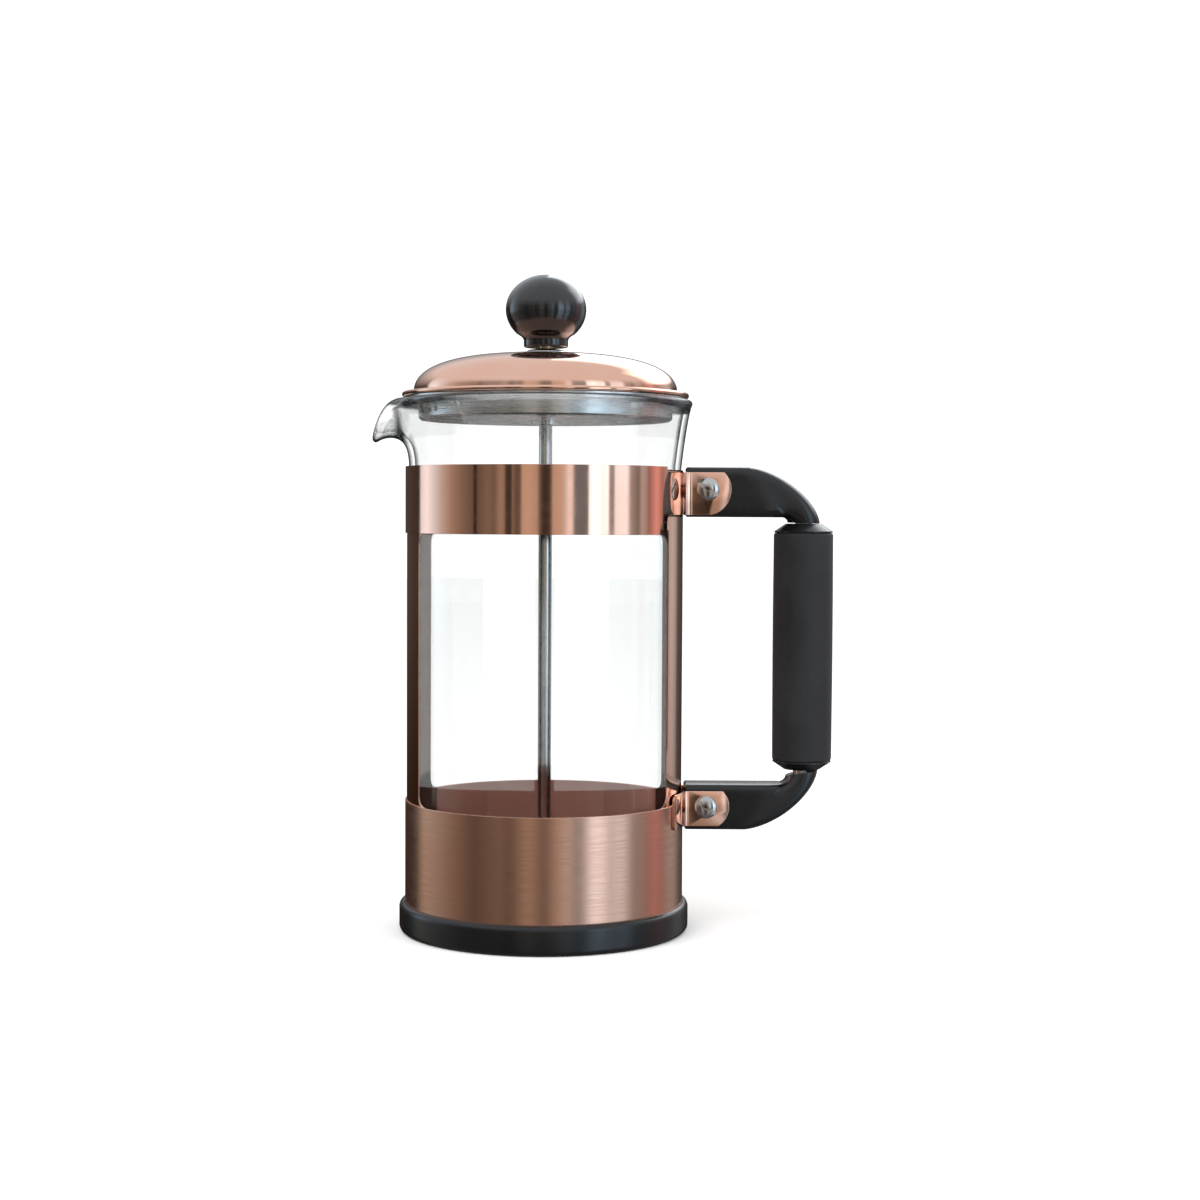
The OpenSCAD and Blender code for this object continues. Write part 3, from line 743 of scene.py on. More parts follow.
class FRENCHPRESS_OT_base(PressOperator, bpy.types.Operator):
    """Make the moulded cup that the press stands on"""

    bl_idname = "french_press.base"
    bl_label = "Base"

    def execute(self, context):
        s = press_sizes()
        outer = high("base_cup", X)
        top = high("base_cup", Z)
        mouth = s.frame_r + HAIR
        seat = low("lower_band", Z) - HAIR
        well = low("beaker_cushion", Z) - HAIR
        edge = s.frame.base_round
        groove, ledge, depth = outer - 12, 8, 0.6
        profile = [(0, 0)]
        for ring in (groove - ledge, groove):
            profile += [(ring - 2, 0), (ring - 2, depth), (ring, depth), (ring, 0)]
        profile += arc((outer - edge, edge), edge, -90, 0, 8)
        profile += arc((mouth + 0.45, top - 2.1), (outer - mouth - 0.45, 2.1), 0, 90, 8)
        profile += [(mouth, top - 0.15), (mouth, seat), (mouth - 2.2, seat)]
        profile += [(mouth - 2.8, well), (0, well)]
        piece = lathe("base", profile)
        finish(piece, "frame", "black_plastic", black_plastic(), "base_cup")
        return {"FINISHED"}


class FRENCHPRESS_OT_lower_band(PressOperator, bpy.types.Operator):
    """Make the brushed copper band that stands in the base"""

    bl_idname = "french_press.lower_band"
    bl_label = "Lower band"

    def execute(self, context):
        s = press_sizes()
        foot, top = low("lower_band", Z), high("lower_band", Z)
        outline = rounded_box(s.band_r, s.frame_r, foot, top, s.frame.edge)
        piece = lathe("brushed_band", outline, closed=True, steps=BAND_STEPS)
        level(piece, s.frame_r + HAIR)
        finish(piece, "frame", "brushed_copper", brushed_copper(), "lower_band")
        return {"FINISHED"}


def folded(s, radius, thickness, fold_r):
    """The plan path of a flange round the beaker that folds out into an ear: the half of it on the
    back. Returns the angle where it leaves the ring, the fold's length, the distance from there to
    the screw, and place(u) for a distance u past that angle."""
    fold_y = s.ear_y + thickness + fold_r
    leave = math.asin(fold_y / (radius + thickness + fold_r))
    centre_x = (radius + thickness + fold_r) * math.cos(leave)
    fold_mid = fold_r + thickness / 2
    fold_length = (math.pi / 2 - leave) * fold_mid
    ring_mid = radius + thickness / 2

    def place(u):
        if u < 0:
            a = leave - u / ring_mid
            return ring_mid * math.cos(a), ring_mid * math.sin(a)
        if u < fold_length:
            a = math.pi + leave + u / fold_mid
            return centre_x + fold_mid * math.cos(a), fold_y + fold_mid * math.sin(a)
        return centre_x + u - fold_length, s.ear_y + thickness / 2

    ear_length = s.screw_x - centre_x
    return leave, fold_length, fold_length + ear_length, place


def ear_end(u, z0, z1, screw_z, radius):
    """The ear's round end, from its lower edge to its upper one, round the screw."""
    below, above = screw_z - z0, z1 - screw_z
    start = -math.degrees(math.asin(min(1, below / radius)))
    lower = arc((u, screw_z), (radius, max(radius, below)), start, 0, 9)
    return lower + arc((u, screw_z), radius, 0, math.degrees(math.asin(above / radius)), 7)[1:]


class FRENCHPRESS_OT_upper_band(PressOperator, bpy.types.Operator):
    """Bend the polished copper band whose two tabs fold out into the upper ears"""

    bl_idname = "french_press.upper_band"
    bl_label = "Upper band"

    def execute(self, context):
        s = press_sizes()
        fold_r, notch_r = 4, 2.4
        below_screw, ear_h = 9.25, 15.3
        ear_z = s.upper_screw_z - below_screw
        foot, top = low("upper_band", Z), high("upper_band", Z)
        ear_r = high("upper_band", X) - s.screw_x
        leave, fold_length, to_screw, place = folded(s, s.band_r, s.frame.band, fold_r)
        mid_r = s.band_r + s.frame.band / 2
        half_arc = (math.pi - leave) * mid_r
        shoulder_y = s.frame.post_width / 2 + 1.4
        shoulder = (math.pi - math.asin(shoulder_y / mid_r)) * mid_r
        ear_top = ear_z + ear_h
        half = [(shoulder, top), (shoulder, ear_top)]
        half += reversed(
            ear_end(half_arc + to_screw, ear_z, ear_top, s.upper_screw_z, ear_r)
        )
        half += arc((shoulder + notch_r, ear_z - notch_r), notch_r, 90, 180, 6)
        half += [(shoulder, foot)]
        outline = half + [(-u, z) for u, z in reversed(half)]
        stations = spaced(-half_arc, half_arc, 1.9)
        for side in (-1, 1):
            stations += [side * half_arc, side * (half_arc + fold_length)]
            stations += spaced(side * half_arc, side * (half_arc + fold_length), 0.45)

        def bend(u, z):
            x, y = place(abs(u) - half_arc)
            return x, math.copysign(y, u), z

        # The sheet's middle, u = 0, is on the spout's side, and its two tabs are on the handle's.
        piece = bent_sheet(
            "polished_band", outline, s.frame.band, s.frame.edge, stations, bend
        )
        bore(piece, s.screw_x, s.upper_screw_z, s.handle.screw / 2 + SCREW_PLAY)
        smooth(piece)
        level(piece, s.band_r * math.cos(leave) - 0.5)
        finish(piece, "frame", "polished_copper", polished_copper(), "upper_band")
        return {"FINISHED"}


class FRENCHPRESS_OT_posts(PressOperator, bpy.types.Operator):
    """Bend the two curved copper strips that join the bands"""

    bl_idname = "french_press.posts"
    bl_label = "Posts"

    def execute(self, context):
        s = press_sizes()
        mid_r = s.post_r + s.frame.post / 2
        fillet = s.frame.post_fillet
        window_foot, window_top = high("lower_band", Z), low("upper_band", Z)
        foot, top = low("handle_side_post", Z), high("handle_side_post", Z)
        narrow = math.asin(s.frame.post_width / 2 / mid_r) * mid_r
        wide = narrow + fillet * 1.12
        corner = (wide - narrow, fillet)
        side = [(wide, foot)]
        side += arc((wide, window_foot + fillet), corner, 270, 180, 8)
        side += arc((wide, window_top - fillet), corner, 180, 90, 8)
        side += [(wide, top)]
        outline = side + [(-u, z) for u, z in reversed(side)]
        stations = spaced(-narrow, narrow, 2.2) + [-narrow, narrow]
        for name, node, facing in (
            ("spout_post", "spout_side_post", -1),
            ("handle_post", "handle_side_post", 1),
        ):

            def bend(u, z, facing=facing):
                a = u / mid_r
                return facing * mid_r * math.cos(a), mid_r * math.sin(a), z

            piece = bent_sheet(name, outline, s.frame.post, s.frame.edge, stations, bend)
            level(piece, s.frame_r)
            # The posts' copper has a painted shade on its inner side, at 0.30 of its tint.
            copper = polished_copper("post_copper_finish", 0.30)
            finish(piece, "frame", "polished_copper", copper, node)
        return {"FINISHED"}


class FRENCHPRESS_OT_clips(PressOperator, bpy.types.Operator):
    """Bend the two clips that hold the lower arm"""

    bl_idname = "french_press.clips"
    bl_label = "Lower clips"

    def execute(self, context):
        s = press_sizes()
        fold_r, corner_r = 2.2, 2.4
        radius = s.frame_r + HAIR
        foot, top = low("lower_front_clip", Z), high("lower_front_clip", Z)
        ear_r = high("lower_front_clip", X) - s.screw_x
        _, fold_length, to_screw, place = folded(s, radius, s.frame.clip, fold_r)
        flange = math.radians(13) * (radius + s.frame.clip / 2)
        outline = arc((corner_r - flange, foot + corner_r), corner_r, 180, 270, 6)
        outline += ear_end(to_screw, foot, top, s.lower_screw_z, ear_r)
        outline += arc((corner_r - flange, top - corner_r), corner_r, 90, 180, 6)
        stations = spaced(-flange, 0, 1.6) + spaced(0, fold_length, 0.35) + [0, fold_length]
        for name, node, facing in (
            ("front_clip", "lower_front_clip", -1),
            ("rear_clip", "lower_rear_clip", 1),
        ):

            def bend(u, z, facing=facing):
                x, y = place(u)
                return x, facing * y, z

            piece = bent_sheet(name, outline, s.frame.clip, 0.2, stations, bend)
            bore(piece, s.screw_x, s.lower_screw_z, s.handle.screw / 2 + SCREW_PLAY)
            smooth(piece)
            finish(piece, "frame", "polished_copper", polished_copper(), node)
        return {"FINISHED"}


def arm_ring(outer, inner, half_width, power, points=64):
    """A ring of an arm's skin between an outer and an inner point, squarer as power grows."""
    centre, reach = (outer + inner) / 2, (outer - inner) / 2
    ring = []
    for i in range(points):
        a = FULL_TURN * (i + 0.5) / points
        along = math.copysign(abs(math.cos(a)) ** (2 / power), math.cos(a))
        across = math.copysign(abs(math.sin(a)) ** (2 / power), math.sin(a))
        point = centre + reach * along
        ring.append((point.x, half_width * across, point.y))
    return ring


def arm_rings(s, depth, rise):
    """An arm drawn as if its neck pointed up: a square tang that rounds and turns into the neck."""
    half, neck_r = s.handle.arm / 2, s.handle.neck / 2
    end_x = s.frame_r + 0.5
    round_in, flat, square = 0.5, 1.25, 7
    bend = min(2.6, rise - depth - 0.3)
    straight = 22.4
    outer_c = Vector((s.frame_r + straight, 0))
    outer_r = Vector((s.grip_x + neck_r, rise)) - outer_c
    inner_c = Vector((s.grip_x - neck_r - bend, depth + bend))
    rings = [
        arm_ring(Vector((end_x, round_in)), Vector((end_x, depth - round_in)), half - round_in, square)
    ]
    for i in range(7):
        t = i / 6
        outer = Vector((lerp(end_x + round_in, outer_c.x, t), 0))
        inner = Vector((lerp(end_x + round_in, inner_c.x, t), depth))
        rings.append(arm_ring(outer, inner, half, square))
    turns = 28
    for i in range(1, turns + 1):
        t = i / turns
        a = t * math.pi / 2
        outer = outer_c + Vector(
            (outer_r.x * math.sin(a) ** flat, outer_r.y * (1 - max(0, math.cos(a)) ** flat))
        )
        inner = inner_c + Vector((math.sin(a), -math.cos(a))) * bend
        rings.append(arm_ring(outer, inner, lerp(half, neck_r, t), lerp(square, 2, t**0.4)))
    return rings


class FRENCHPRESS_OT_arms(PressOperator, bpy.types.Operator):
    """Make the two moulded arms that hold the grip"""

    bl_idname = "french_press.arms"
    bl_label = "Handle arms"

    def execute(self, context):
        s = press_sizes()
        upper_depth, lower_depth = 18, 16.6
        for name, node, depth, up, screw_z in (
            ("upper_arm", "upper_handle_arm", upper_depth, -1, s.upper_screw_z),
            ("lower_arm", "lower_handle_arm", lower_depth, 1, s.lower_screw_z),
        ):
            back = high(node, Z) if up < 0 else low(node, Z)
            rise = high(node, Z) - low(node, Z) - 0.01
            rings = [
                [(x, y, back + up * z) for x, y, z in ring] for ring in arm_rings(s, depth, rise)
            ]
            piece = loft(name, rings)
            bore(piece, s.screw_x, screw_z, s.handle.screw / 2 + SCREW_PLAY)
            deselect_all()
            bpy.ops.mesh.primitive_cylinder_add(
                vertices=DRILL_SIDES,
                radius=(s.handle.core / 2 + HAIR) * MM,
                depth=SOCKET_DEPTH * MM,
                location=(s.grip_x * MM, 0, (back + up * rise) * MM),
            )
            cut(piece, settle("socket_drill"))
            smooth(piece, math.radians(40))
            finish(piece, "frame", "black_plastic", black_plastic(), node)
        return {"FINISHED"}


class FRENCHPRESS_OT_grip(PressOperator, bpy.types.Operator):
    """Make the rubber sleeve and the cones at its ends"""

    bl_idname = "french_press.grip"
    bl_label = "Grip"

    def execute(self, context):
        s = press_sizes()
        foot, top = low("grip_sleeve", Z), high("grip_sleeve", Z)
        bore_r = s.grip_r - s.handle.sleeve
        edge, bulge, steps = 0.8, 0.12, 12
        outline = [(bore_r, foot)] + arc((s.grip_r - edge - bulge, foot + edge), edge, -90, 0, 5)
        for i in range(1, steps):
            z = lerp(foot + edge, top - edge, i / steps)
            outline.append((s.grip_r - bulge + bulge * math.sin(math.pi * i / steps), z))
        outline += arc((s.grip_r - edge - bulge, top - edge), edge, 0, 90, 5) + [(bore_r, top)]
        sleeve = lathe("sleeve", outline, closed=True, x=s.grip_x, steps=SMALL_LATHE_STEPS)
        finish(sleeve, "frame", "rubber", soft_rubber(), "grip_sleeve")
        core_r, lip, edge = s.handle.core / 2 + HAIR, 0.6, 0.25
        wide, narrow = s.grip_r - 0.3, s.handle.neck / 2 + 0.5
        rise = s.handle.shoulder
        cone = [(core_r, 0), (wide - edge, 0)] + arc((wide - edge, edge), edge, -60, 0, 3)
        cone += [(wide, lip), (wide - 0.5, lip + 0.28), (narrow + 0.3, rise - 0.12)]
        cone += [(narrow, rise), (core_r, rise)]
        for name, node, up in (
            ("upper_collar", "upper_grip_collar", 1),
            ("lower_collar", "lower_grip_collar", -1),
        ):
            start = low(node, Z) if up > 0 else high(node, Z)
            outline = [(r, start + up * z) for r, z in cone]
            collar = lathe(name, outline, closed=True, x=s.grip_x, steps=SMALL_LATHE_STEPS)
            finish(collar, "frame", "black_plastic", black_plastic(), node)
        return {"FINISHED"}


class FRENCHPRESS_OT_screws(PressOperator, bpy.types.Operator):
    """Make the two slotted screws that hold the handle"""

    bl_idname = "french_press.screws"
    bl_label = "Screws"

    def execute(self, context):
        s = press_sizes()
        h = s.handle
        r, head_r = h.screw / 2, h.head / 2
        side = h.head_height * 0.4
        for name, node, screw_z in (
            ("upper_slotted_screw", "upper_screw", s.upper_screw_z),
            ("lower_slotted_screw", "lower_screw", s.lower_screw_z),
        ):
            reach = high(node, Y) - low(node, Y) - h.head_height
            profile = [(0, -reach), (r - 0.4, -reach), (r, 0.4 - reach), (r, 0), (head_r - 0.15, 0)]
            profile += [(head_r, 0.15)]
            profile += arc((0, side), (head_r, h.head_height - side), 0, 90, 14)
            piece = lathe(name, profile, steps=SMALL_LATHE_STEPS)
            deselect_all()
            bpy.ops.mesh.primitive_cube_add(
                size=1,
                location=(0, 0, (h.head_height * 0.36 + 5) * MM),
                rotation=(0, 0, h.slot_turn),
                scale=(20 * MM, h.slot * MM, 10 * MM),
            )
            cut(piece, settle("slot_saw"))
            bevel(piece, 0.12, 55)
            piece.rotation_euler = (math.pi / 2, 0, 0)
            piece.location = (s.screw_x * MM, (low(node, Y) + h.head_height) * MM, screw_z * MM)
            activate(piece)
            bpy.ops.object.transform_apply(location=True, rotation=True, scale=True)
            smooth(piece)
            finish(piece, "frame", "bright_steel", bright_steel(), node)
        return {"FINISHED"}


def flare_path(s, lip, steps=14):
    """The middle of the flaring wall: lip is 0 round the rim and 1 at the tip of the spout."""
    g = s.glass
    bead = Vector(
        (
            s.wall_r + lerp(g.rim_flare, g.spout_reach, lip),
            s.rim_z - g.bead / 2 - g.spout_drop * lip**2.8,
        )
    )
    rising = Vector((s.wall_r + 0.9 * (1 - lip), s.flare_z + lerp(8, 12.2, lip)))
    leaning = bead + Vector((-1.5, -5)) * (1 - lip) + Vector((-5.6, 2.9)) * lip
    return bezier([(s.wall_r, s.flare_z), rising, leaning, bead], steps)


def beaker_section(s, lip):
    """Half of the beaker's section, from under its floor, over the bead, to its floor inside."""
    g = s.glass
    path = flare_path(s, lip)
    end = len(path) - 1
    ahead = heading(path, end)
    aside = Vector((ahead.y, -ahead.x))
    bead = [
        path[end]
        + (aside * math.cos(math.radians(20 * i)) + ahead * math.sin(math.radians(20 * i))) * g.bead / 2
        for i in range(10)
    ]
    corner = g.foot_round - g.wall
    floor_z = s.foot_z + g.floor
    wall_z = [lerp(s.foot_z + g.foot_round, s.flare_z, t) for t in (0.25, 0.5, 0.75)]
    outside = [(1, s.foot_z), (s.beaker_r * 0.5, s.foot_z)]
    outside += arc((s.beaker_r - g.foot_round, s.foot_z + g.foot_round), g.foot_round, -90, 0, 10)
    outside += [(s.beaker_r, z) for z in wall_z]
    inside = [(s.inner_r, z) for z in reversed(wall_z)]
    inside += arc((s.inner_r - corner, floor_z + corner), corner, 0, -90, 8)
    inside += [(s.inner_r * 0.5, floor_z), (1, floor_z)]
    outer = beside(path, g.wall / 2)[:end]
    inner = list(reversed(beside(path, -g.wall / 2)[:end]))
    return outside + [tuple(p) for p in outer + bead + inner] + inside


class FRENCHPRESS_OT_beaker(PressOperator, bpy.types.Operator):
    """Make the glass beaker with its beaded rim and its spout"""

    bl_idname = "french_press.beaker"
    bl_label = "Beaker"

    def execute(self, context):
        s = press_sizes()
        half_angle = s.glass.spout_half_angle
        steps = 240
        sections = []
        for i in range(steps):
            a = FULL_TURN * i / steps
            away = abs(a if a <= math.pi else a - FULL_TURN)
            share = 0.0
            if away < half_angle:
                share = ((1 + math.cos(math.pi * away / half_angle)) / 2) ** 1.15
            section = beaker_section(s, share)
            sections.append([(-r * math.cos(a), -r * math.sin(a), z) for r, z in section])
        rings = [list(ring) for ring in zip(*sections)]
        piece = loft("beaker", rings)
        smooth(piece, math.radians(60))
        finish(piece, "beaker", "glass", clear_glass(), "glass_beaker")
        return {"FINISHED"}


class FRENCHPRESS_OT_lid(PressOperator, bpy.types.Operator):
    """Make the copper dome and the bushing that guides the rod"""

    bl_idname = "french_press.lid"
    bl_label = "Lid"

    def execute(self, context):
        s = press_sizes()
        sheet = s.lid.sheet
        flange_z = low("lid_dome", Z) + sheet / 2
        top = high("lid_dome", Z) - sheet / 2
        flange_r = high("lid_dome", X)
        bushing_r = high("lid_bushing_ring", X) - 1.6
        flat_r = high("lid_bushing", X) + 2.6
        dome_r = s.inner_r + 0.2
        corner, hem = 1.2, 0.55
        path = arc((flange_r - hem, flange_z + hem * 1.1), hem, 60, -90, 8)
        path += [(dome_r + corner, flange_z)]
        path += arc((dome_r + corner, flange_z + corner), corner, 270, 180, 6)[1:]
        wall = [(dome_r, flange_z + 2.6), (dome_r - 1, flange_z + 2.6 + s.lid.dome * 0.62)]
        path += [tuple(p) for p in bezier(wall + [(dome_r * 0.6, top), (flat_r, top)], 28)]
        path += [(bushing_r + 0.06, top)]
        dome = lathe("dome", sheet_outline(path, sheet), closed=True, steps=BAND_STEPS)
        smooth(dome, math.radians(50))
        finish(dome, "lid", "polished_copper", polished_copper(), "lid_dome")

        bore_r = s.rod_r + 0.06
        foot, head = low("lid_bushing", Z), high("lid_bushing", Z)
        seat, rim = high("lid_dome", Z) + 0.06, high("lid_bushing", X)
        profile = [(bore_r, foot + 0.2), (bore_r + 0.2, foot), (bushing_r - 0.3, foot)]
        profile += [(bushing_r, foot + 0.3), (bushing_r, seat)]
        profile += arc((rim - 0.3, seat + 0.3), 0.3, -90, 0, 3)
        profile += arc((rim - 1.4, seat + 0.5), (1.4, head - seat - 0.5), 0, 90, 8)
        profile += [(bushing_r, head), (bushing_r - 0.4, head - 0.25), (bore_r + 0.3, head - 0.25)]
        profile += [(bore_r, head - 0.5)]
        bushing = lathe("bushing", profile, closed=True, steps=SMALL_LATHE_STEPS)
        finish(bushing, "lid_bushing", "bright_steel", bright_steel(), "lid_bushing")
        return {"FINISHED"}


class FRENCHPRESS_OT_plunger(PressOperator, bpy.types.Operator):
    """Make the plunger's rod and knob"""

    bl_idname = "french_press.plunger"
    bl_label = "Plunger"

    def execute(self, context):
        s = press_sizes()
        foot, top = low("plunger_rod", Z), high("plunger_rod", Z)
        r = s.rod_r
        profile = [(0, foot)] + arc((r - 0.5, foot + 0.5), 0.5, -90, 0, 3)
        profile += arc((r - 0.5, top - 0.5), 0.5, 0, 90, 3) + [(0, top)]
        rod = lathe("rod", profile, steps=64)
        finish(rod, "plunger", "bright_steel", bright_steel(), "plunger_rod")

        r = high("plunger_knob", X)
        foot, top = low("plunger_knob", Z), high("plunger_knob", Z)
        ball_z, neck = top - r * 0.86, r * 0.55
        hole_r = high("knob_insert", X) + HAIR
        hole_top = high("knob_insert", Z) + HAIR
        profile = [(0, hole_top), (hole_r, hole_top), (hole_r, foot + 0.3), (hole_r + 0.3, foot)]
        profile += arc((neck - 0.6, foot + 0.6), 0.6, -90, 0, 4)
        start = (neck, foot + 2.2)
        low_ball = (r * math.cos(math.radians(-44)), ball_z - r * 0.86 * math.sin(math.radians(44)))
        throat = [start, (neck, foot + 3.4), (neck + 0.9, foot + 4), low_ball]
        profile += [tuple(p) for p in bezier(throat, 8)]
        profile += arc((0, ball_z), (r, r * 0.86), -44, 90, 34)[1:]
        knob = lathe("knob", profile, steps=128)
        finish(knob, "plunger", "gloss_black", gloss_black(), "plunger_knob")
        return {"FINISHED"}


class FRENCHPRESS_OT_edge_coil(PressOperator, bpy.types.Operator):
    """Wind the spring wire that seals the filter against the glass"""

    bl_idname = "french_press.edge_coil"
    bl_label = "Edge coil"

    def execute(self, context):
        s = press_sizes()
        outer, height = high("edge_coil", X), high("edge_coil", Z) - low("edge_coil", Z)
        wire = s.plunger.coil_wire
        winding_r = (height - wire) / 2
        ring_r = outer - height / 2
        middle_z = low("edge_coil", Z) + height / 2
        turns = round(FULL_TURN * ring_r / s.plunger.coil_pitch)
        per_turn = 12
        count = turns * per_turn
        deselect_all()
        bpy.ops.curve.primitive_bezier_circle_add(radius=ring_r * MM)
        coil = bpy.context.object
        coil.data.splines.clear()
        line = coil.data.splines.new("POLY")
        line.points.add(count - 1)
        for i, point in enumerate(line.points):
            round_ring, round_wire = FULL_TURN * i / count, FULL_TURN * i / per_turn
            r = ring_r + winding_r * math.cos(round_wire)
            z = middle_z + winding_r * math.sin(round_wire)
            point.co = (*(Vector((r * math.cos(round_ring), r * math.sin(round_ring), z)) * MM), 1)
        line.use_cyclic_u = True
        coil.data.bevel_depth = wire / 2 * MM
        coil.data.bevel_resolution = 1
        bpy.ops.object.convert(target="MESH")
        coil = settle("coil_spring")
        smooth(coil, math.radians(80))
        finish(coil, "plunger", "bright_steel", bright_steel(), "edge_coil")
        return {"FINISHED"}


class FRENCHPRESS_OT_inner_parts(PressOperator, bpy.types.Operator):
    """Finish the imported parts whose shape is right: those inside the press, and the nuts"""

    bl_idname = "french_press.inner_parts"
    bl_label = "Inner parts"

    def execute(self, context):
        finishes = {
            soft_rubber: ("beaker_cushion",),
            black_plastic: ("grip_tube", "lid_spacer"),
            bright_steel: ("upper_nut", "lower_nut", "lid_bushing_ring"),
            brushed_steel: (
                "grip_core_rod",
                "filter_hub",
                "spring_plate",
                "cross_plate",
                "filter_nut",
            ),
            turned_steel: ("lid_strainer",),
            turned_brass: ("knob_insert",),
            woven_steel: ("mesh_disc",),
        }
        for material, nodes in finishes.items():
            for node in nodes:
                refinish(node, material())
        return {"FINISHED"}


# The studio -------------------------------------------------------------------------------

# What the copper mirrors, by the angle round the press from the front, in degrees, towards the
# handle: the brightness and the tint at each mark. It changes evenly from one mark to the next.
TAN = (1.0, 0.86, 0.72)
PLAIN = (0.95, 1.0, 1.03)
COOL = (0.80, 1.0, 1.18)
ROSE = (1.0, 0.58, 0.56)
SPOUT_PANELS = (
    (-180, 0.06, TAN),
    (-150, 0.07, TAN),
    (-124, 0.05, TAN),
    (-120, 1.15, COOL),
    (-111, 1.40, COOL),
    (-103, 1.05, COOL),
    (-91, 0.58, PLAIN),
    (-80, 0.37, TAN),
    (-69, 0.23, TAN),
    (-59, 0.15, TAN),
    (-58, 0.03, TAN),
    (-56, 0.03, TAN),
    (-55, 0.14, TAN),
    (-46, 0.22, TAN),
    (-40, 0.18, TAN),
    (-35, 0.36, TAN),
    (-32, 0.32, TAN),
    (-30, 0.06, TAN),
    (-26, 0.06, TAN),
    (-25, 0.26, TAN),
    (-22, 0.13, TAN),
    (-18.5, 0.16, TAN),
    (-17, 0.56, TAN),
    (-12, 0.60, TAN),
    (-5, 0.50, TAN),
    (-3, 0.16, TAN),
    (0, 0.05, TAN),
)
HANDLE_PANELS = (
    (0, 0.05, TAN),
    (3.5, 0.05, TAN),
    (6, 0.12, TAN),
    (7.5, 0.55, TAN),
    (15, 0.62, TAN),
    (18, 0.75, PLAIN),
    (20, 1.05, PLAIN),
    (23, 1.0, PLAIN),
    (25, 0.30, COOL),
    (27, 0.23, COOL),
    (36, 0.22, COOL),
    (37.5, 1.9, COOL),
    (43, 2.4, COOL),
    (49, 1.75, COOL),
    (53, 2.1, COOL),
    (55, 0.40, COOL),
    (58.5, 0.40, COOL),
    (60, 1.40, COOL),
    (71, 1.50, COOL),
    (75, 0.42, PLAIN),
    (83, 0.22, PLAIN),
    (87, 0.52, PLAIN),
    (92, 0.40, PLAIN),
    (95, 0.36, ROSE),
    (105, 0.80, ROSE),
    (113, 0.42, ROSE),
    (120, 0.46, PLAIN),
    (133, 0.60, PLAIN),
    (141, 0.42, PLAIN),
    (147, 0.12, PLAIN),
    (160, 0.07, TAN),
    (180, 0.06, TAN),
)
PALE_ROOM = (1.22, 1.22, 1.22)
UPPER_WALLS = (0.80, 0.84, 0.88)
MIRRORED_FLOOR = (0.16, 0.15, 0.15)
REAR_SOFTBOX = (2.9, 3.0, 3.1)  # high up behind the handle
BRIGHTEST = 4  # what a ramp's white stands for
LOW_PANELS = 0.68  # how bright the panels still are near the floor, as a share
LOW_CORNER = (0.55, 0.42, 0.30)  # and what is left of that near the floor by the spout


def panel_ring(tree, angle, panels):
    """One side of the ring of panels, by the angle in degrees, as a colour."""
    first, last = panels[0][0], panels[-1][0]
    share = spread(tree, angle, 0, 1, (first, last))
    ramp = add(tree, "ShaderNodeValToRGB", {"Fac": share})
    marks = ramp.color_ramp.elements
    for i, (place, bright, tint) in enumerate(panels):
        mark = marks[i] if i < 2 else marks.new(1)
        mark.position = (place - first) / (last - first)
        mark.color = (*(bright / BRIGHTEST * channel for channel in tint), 1)
    return ramp.outputs["Color"]


def studio_world():
    """A pale room to the camera and to the lamps' bounce, and a ring of panels to what mirrors it."""
    world = bpy.data.worlds.new("studio")
    bpy.context.scene.world = world
    world.use_nodes = True
    tree = world.node_tree
    tree.nodes.clear()
    direction = add(tree, "ShaderNodeTexCoord").outputs["Generated"]
    axes = add(tree, "ShaderNodeSeparateXYZ", {0: direction}).outputs
    front = calc(tree, "MULTIPLY", axes["Y"], -1.0)
    angle = calc(tree, "ARCTAN2", axes["X"], front)
    degrees = add(tree, "ShaderNodeMath", {0: angle}, operation="DEGREES").outputs[0]
    handle_side = calc(tree, "GREATER_THAN", angle, 0.0)
    ring = blend_colours(
        tree,
        handle_side,
        panel_ring(tree, degrees, SPOUT_PANELS),
        panel_ring(tree, degrees, HANDLE_PANELS),
    )
    height = axes["Z"]
    up = spread(tree, height, 0, 1, (0.10, 0.50))
    down = spread(tree, height, 0, 1, (-0.35, -0.8))
    shaded = spread(tree, height, BRIGHTEST, BRIGHTEST * LOW_PANELS, (-0.04, -0.17))
    inputs = {0: ring, "Scale": shaded}
    panels = add(tree, "ShaderNodeVectorMath", inputs, operation="SCALE").outputs[0]
    by_spout = spread(tree, degrees, 1, 0, (-105, -70))
    near_floor = spread(tree, height, 0, 1, (-0.04, -0.14))
    low_corner = calc(tree, "MULTIPLY", by_spout, near_floor)
    inputs = {0: panels, 1: LOW_CORNER}
    dim = add(tree, "ShaderNodeVectorMath", inputs, operation="MULTIPLY").outputs[0]
    panels = blend_colours(tree, low_corner, panels, dim)
    lofted = blend_colours(tree, up, panels, UPPER_WALLS)
    behind = spread(tree, degrees, 0, 1, (100, 118))
    above = spread(tree, height, 0, 1, (0.22, 0.34))
    below = spread(tree, height, 1, 0, (0.68, 0.80))
    softbox = calc(tree, "MULTIPLY", calc(tree, "MULTIPLY", behind, above), below)
    lofted = blend_colours(tree, softbox, lofted, REAR_SOFTBOX)
    mirrored = blend_colours(tree, down, lofted, MIRRORED_FLOOR)
    # A ray that has met a mirror, also through glass, has a glossy depth above nought.
    mirrors = add(tree, "ShaderNodeLightPath").outputs["Glossy Depth"]
    glossy = calc(tree, "GREATER_THAN", mirrors, 0.5)
    seen = blend_colours(tree, glossy, PALE_ROOM, mirrored)
    background = add(tree, "ShaderNodeBackground", {"Color": seen, "Strength": 1.0}).outputs[0]
    output = tree.nodes.new("ShaderNodeOutputWorld")
    tree.links.new(background, output.inputs["Surface"])


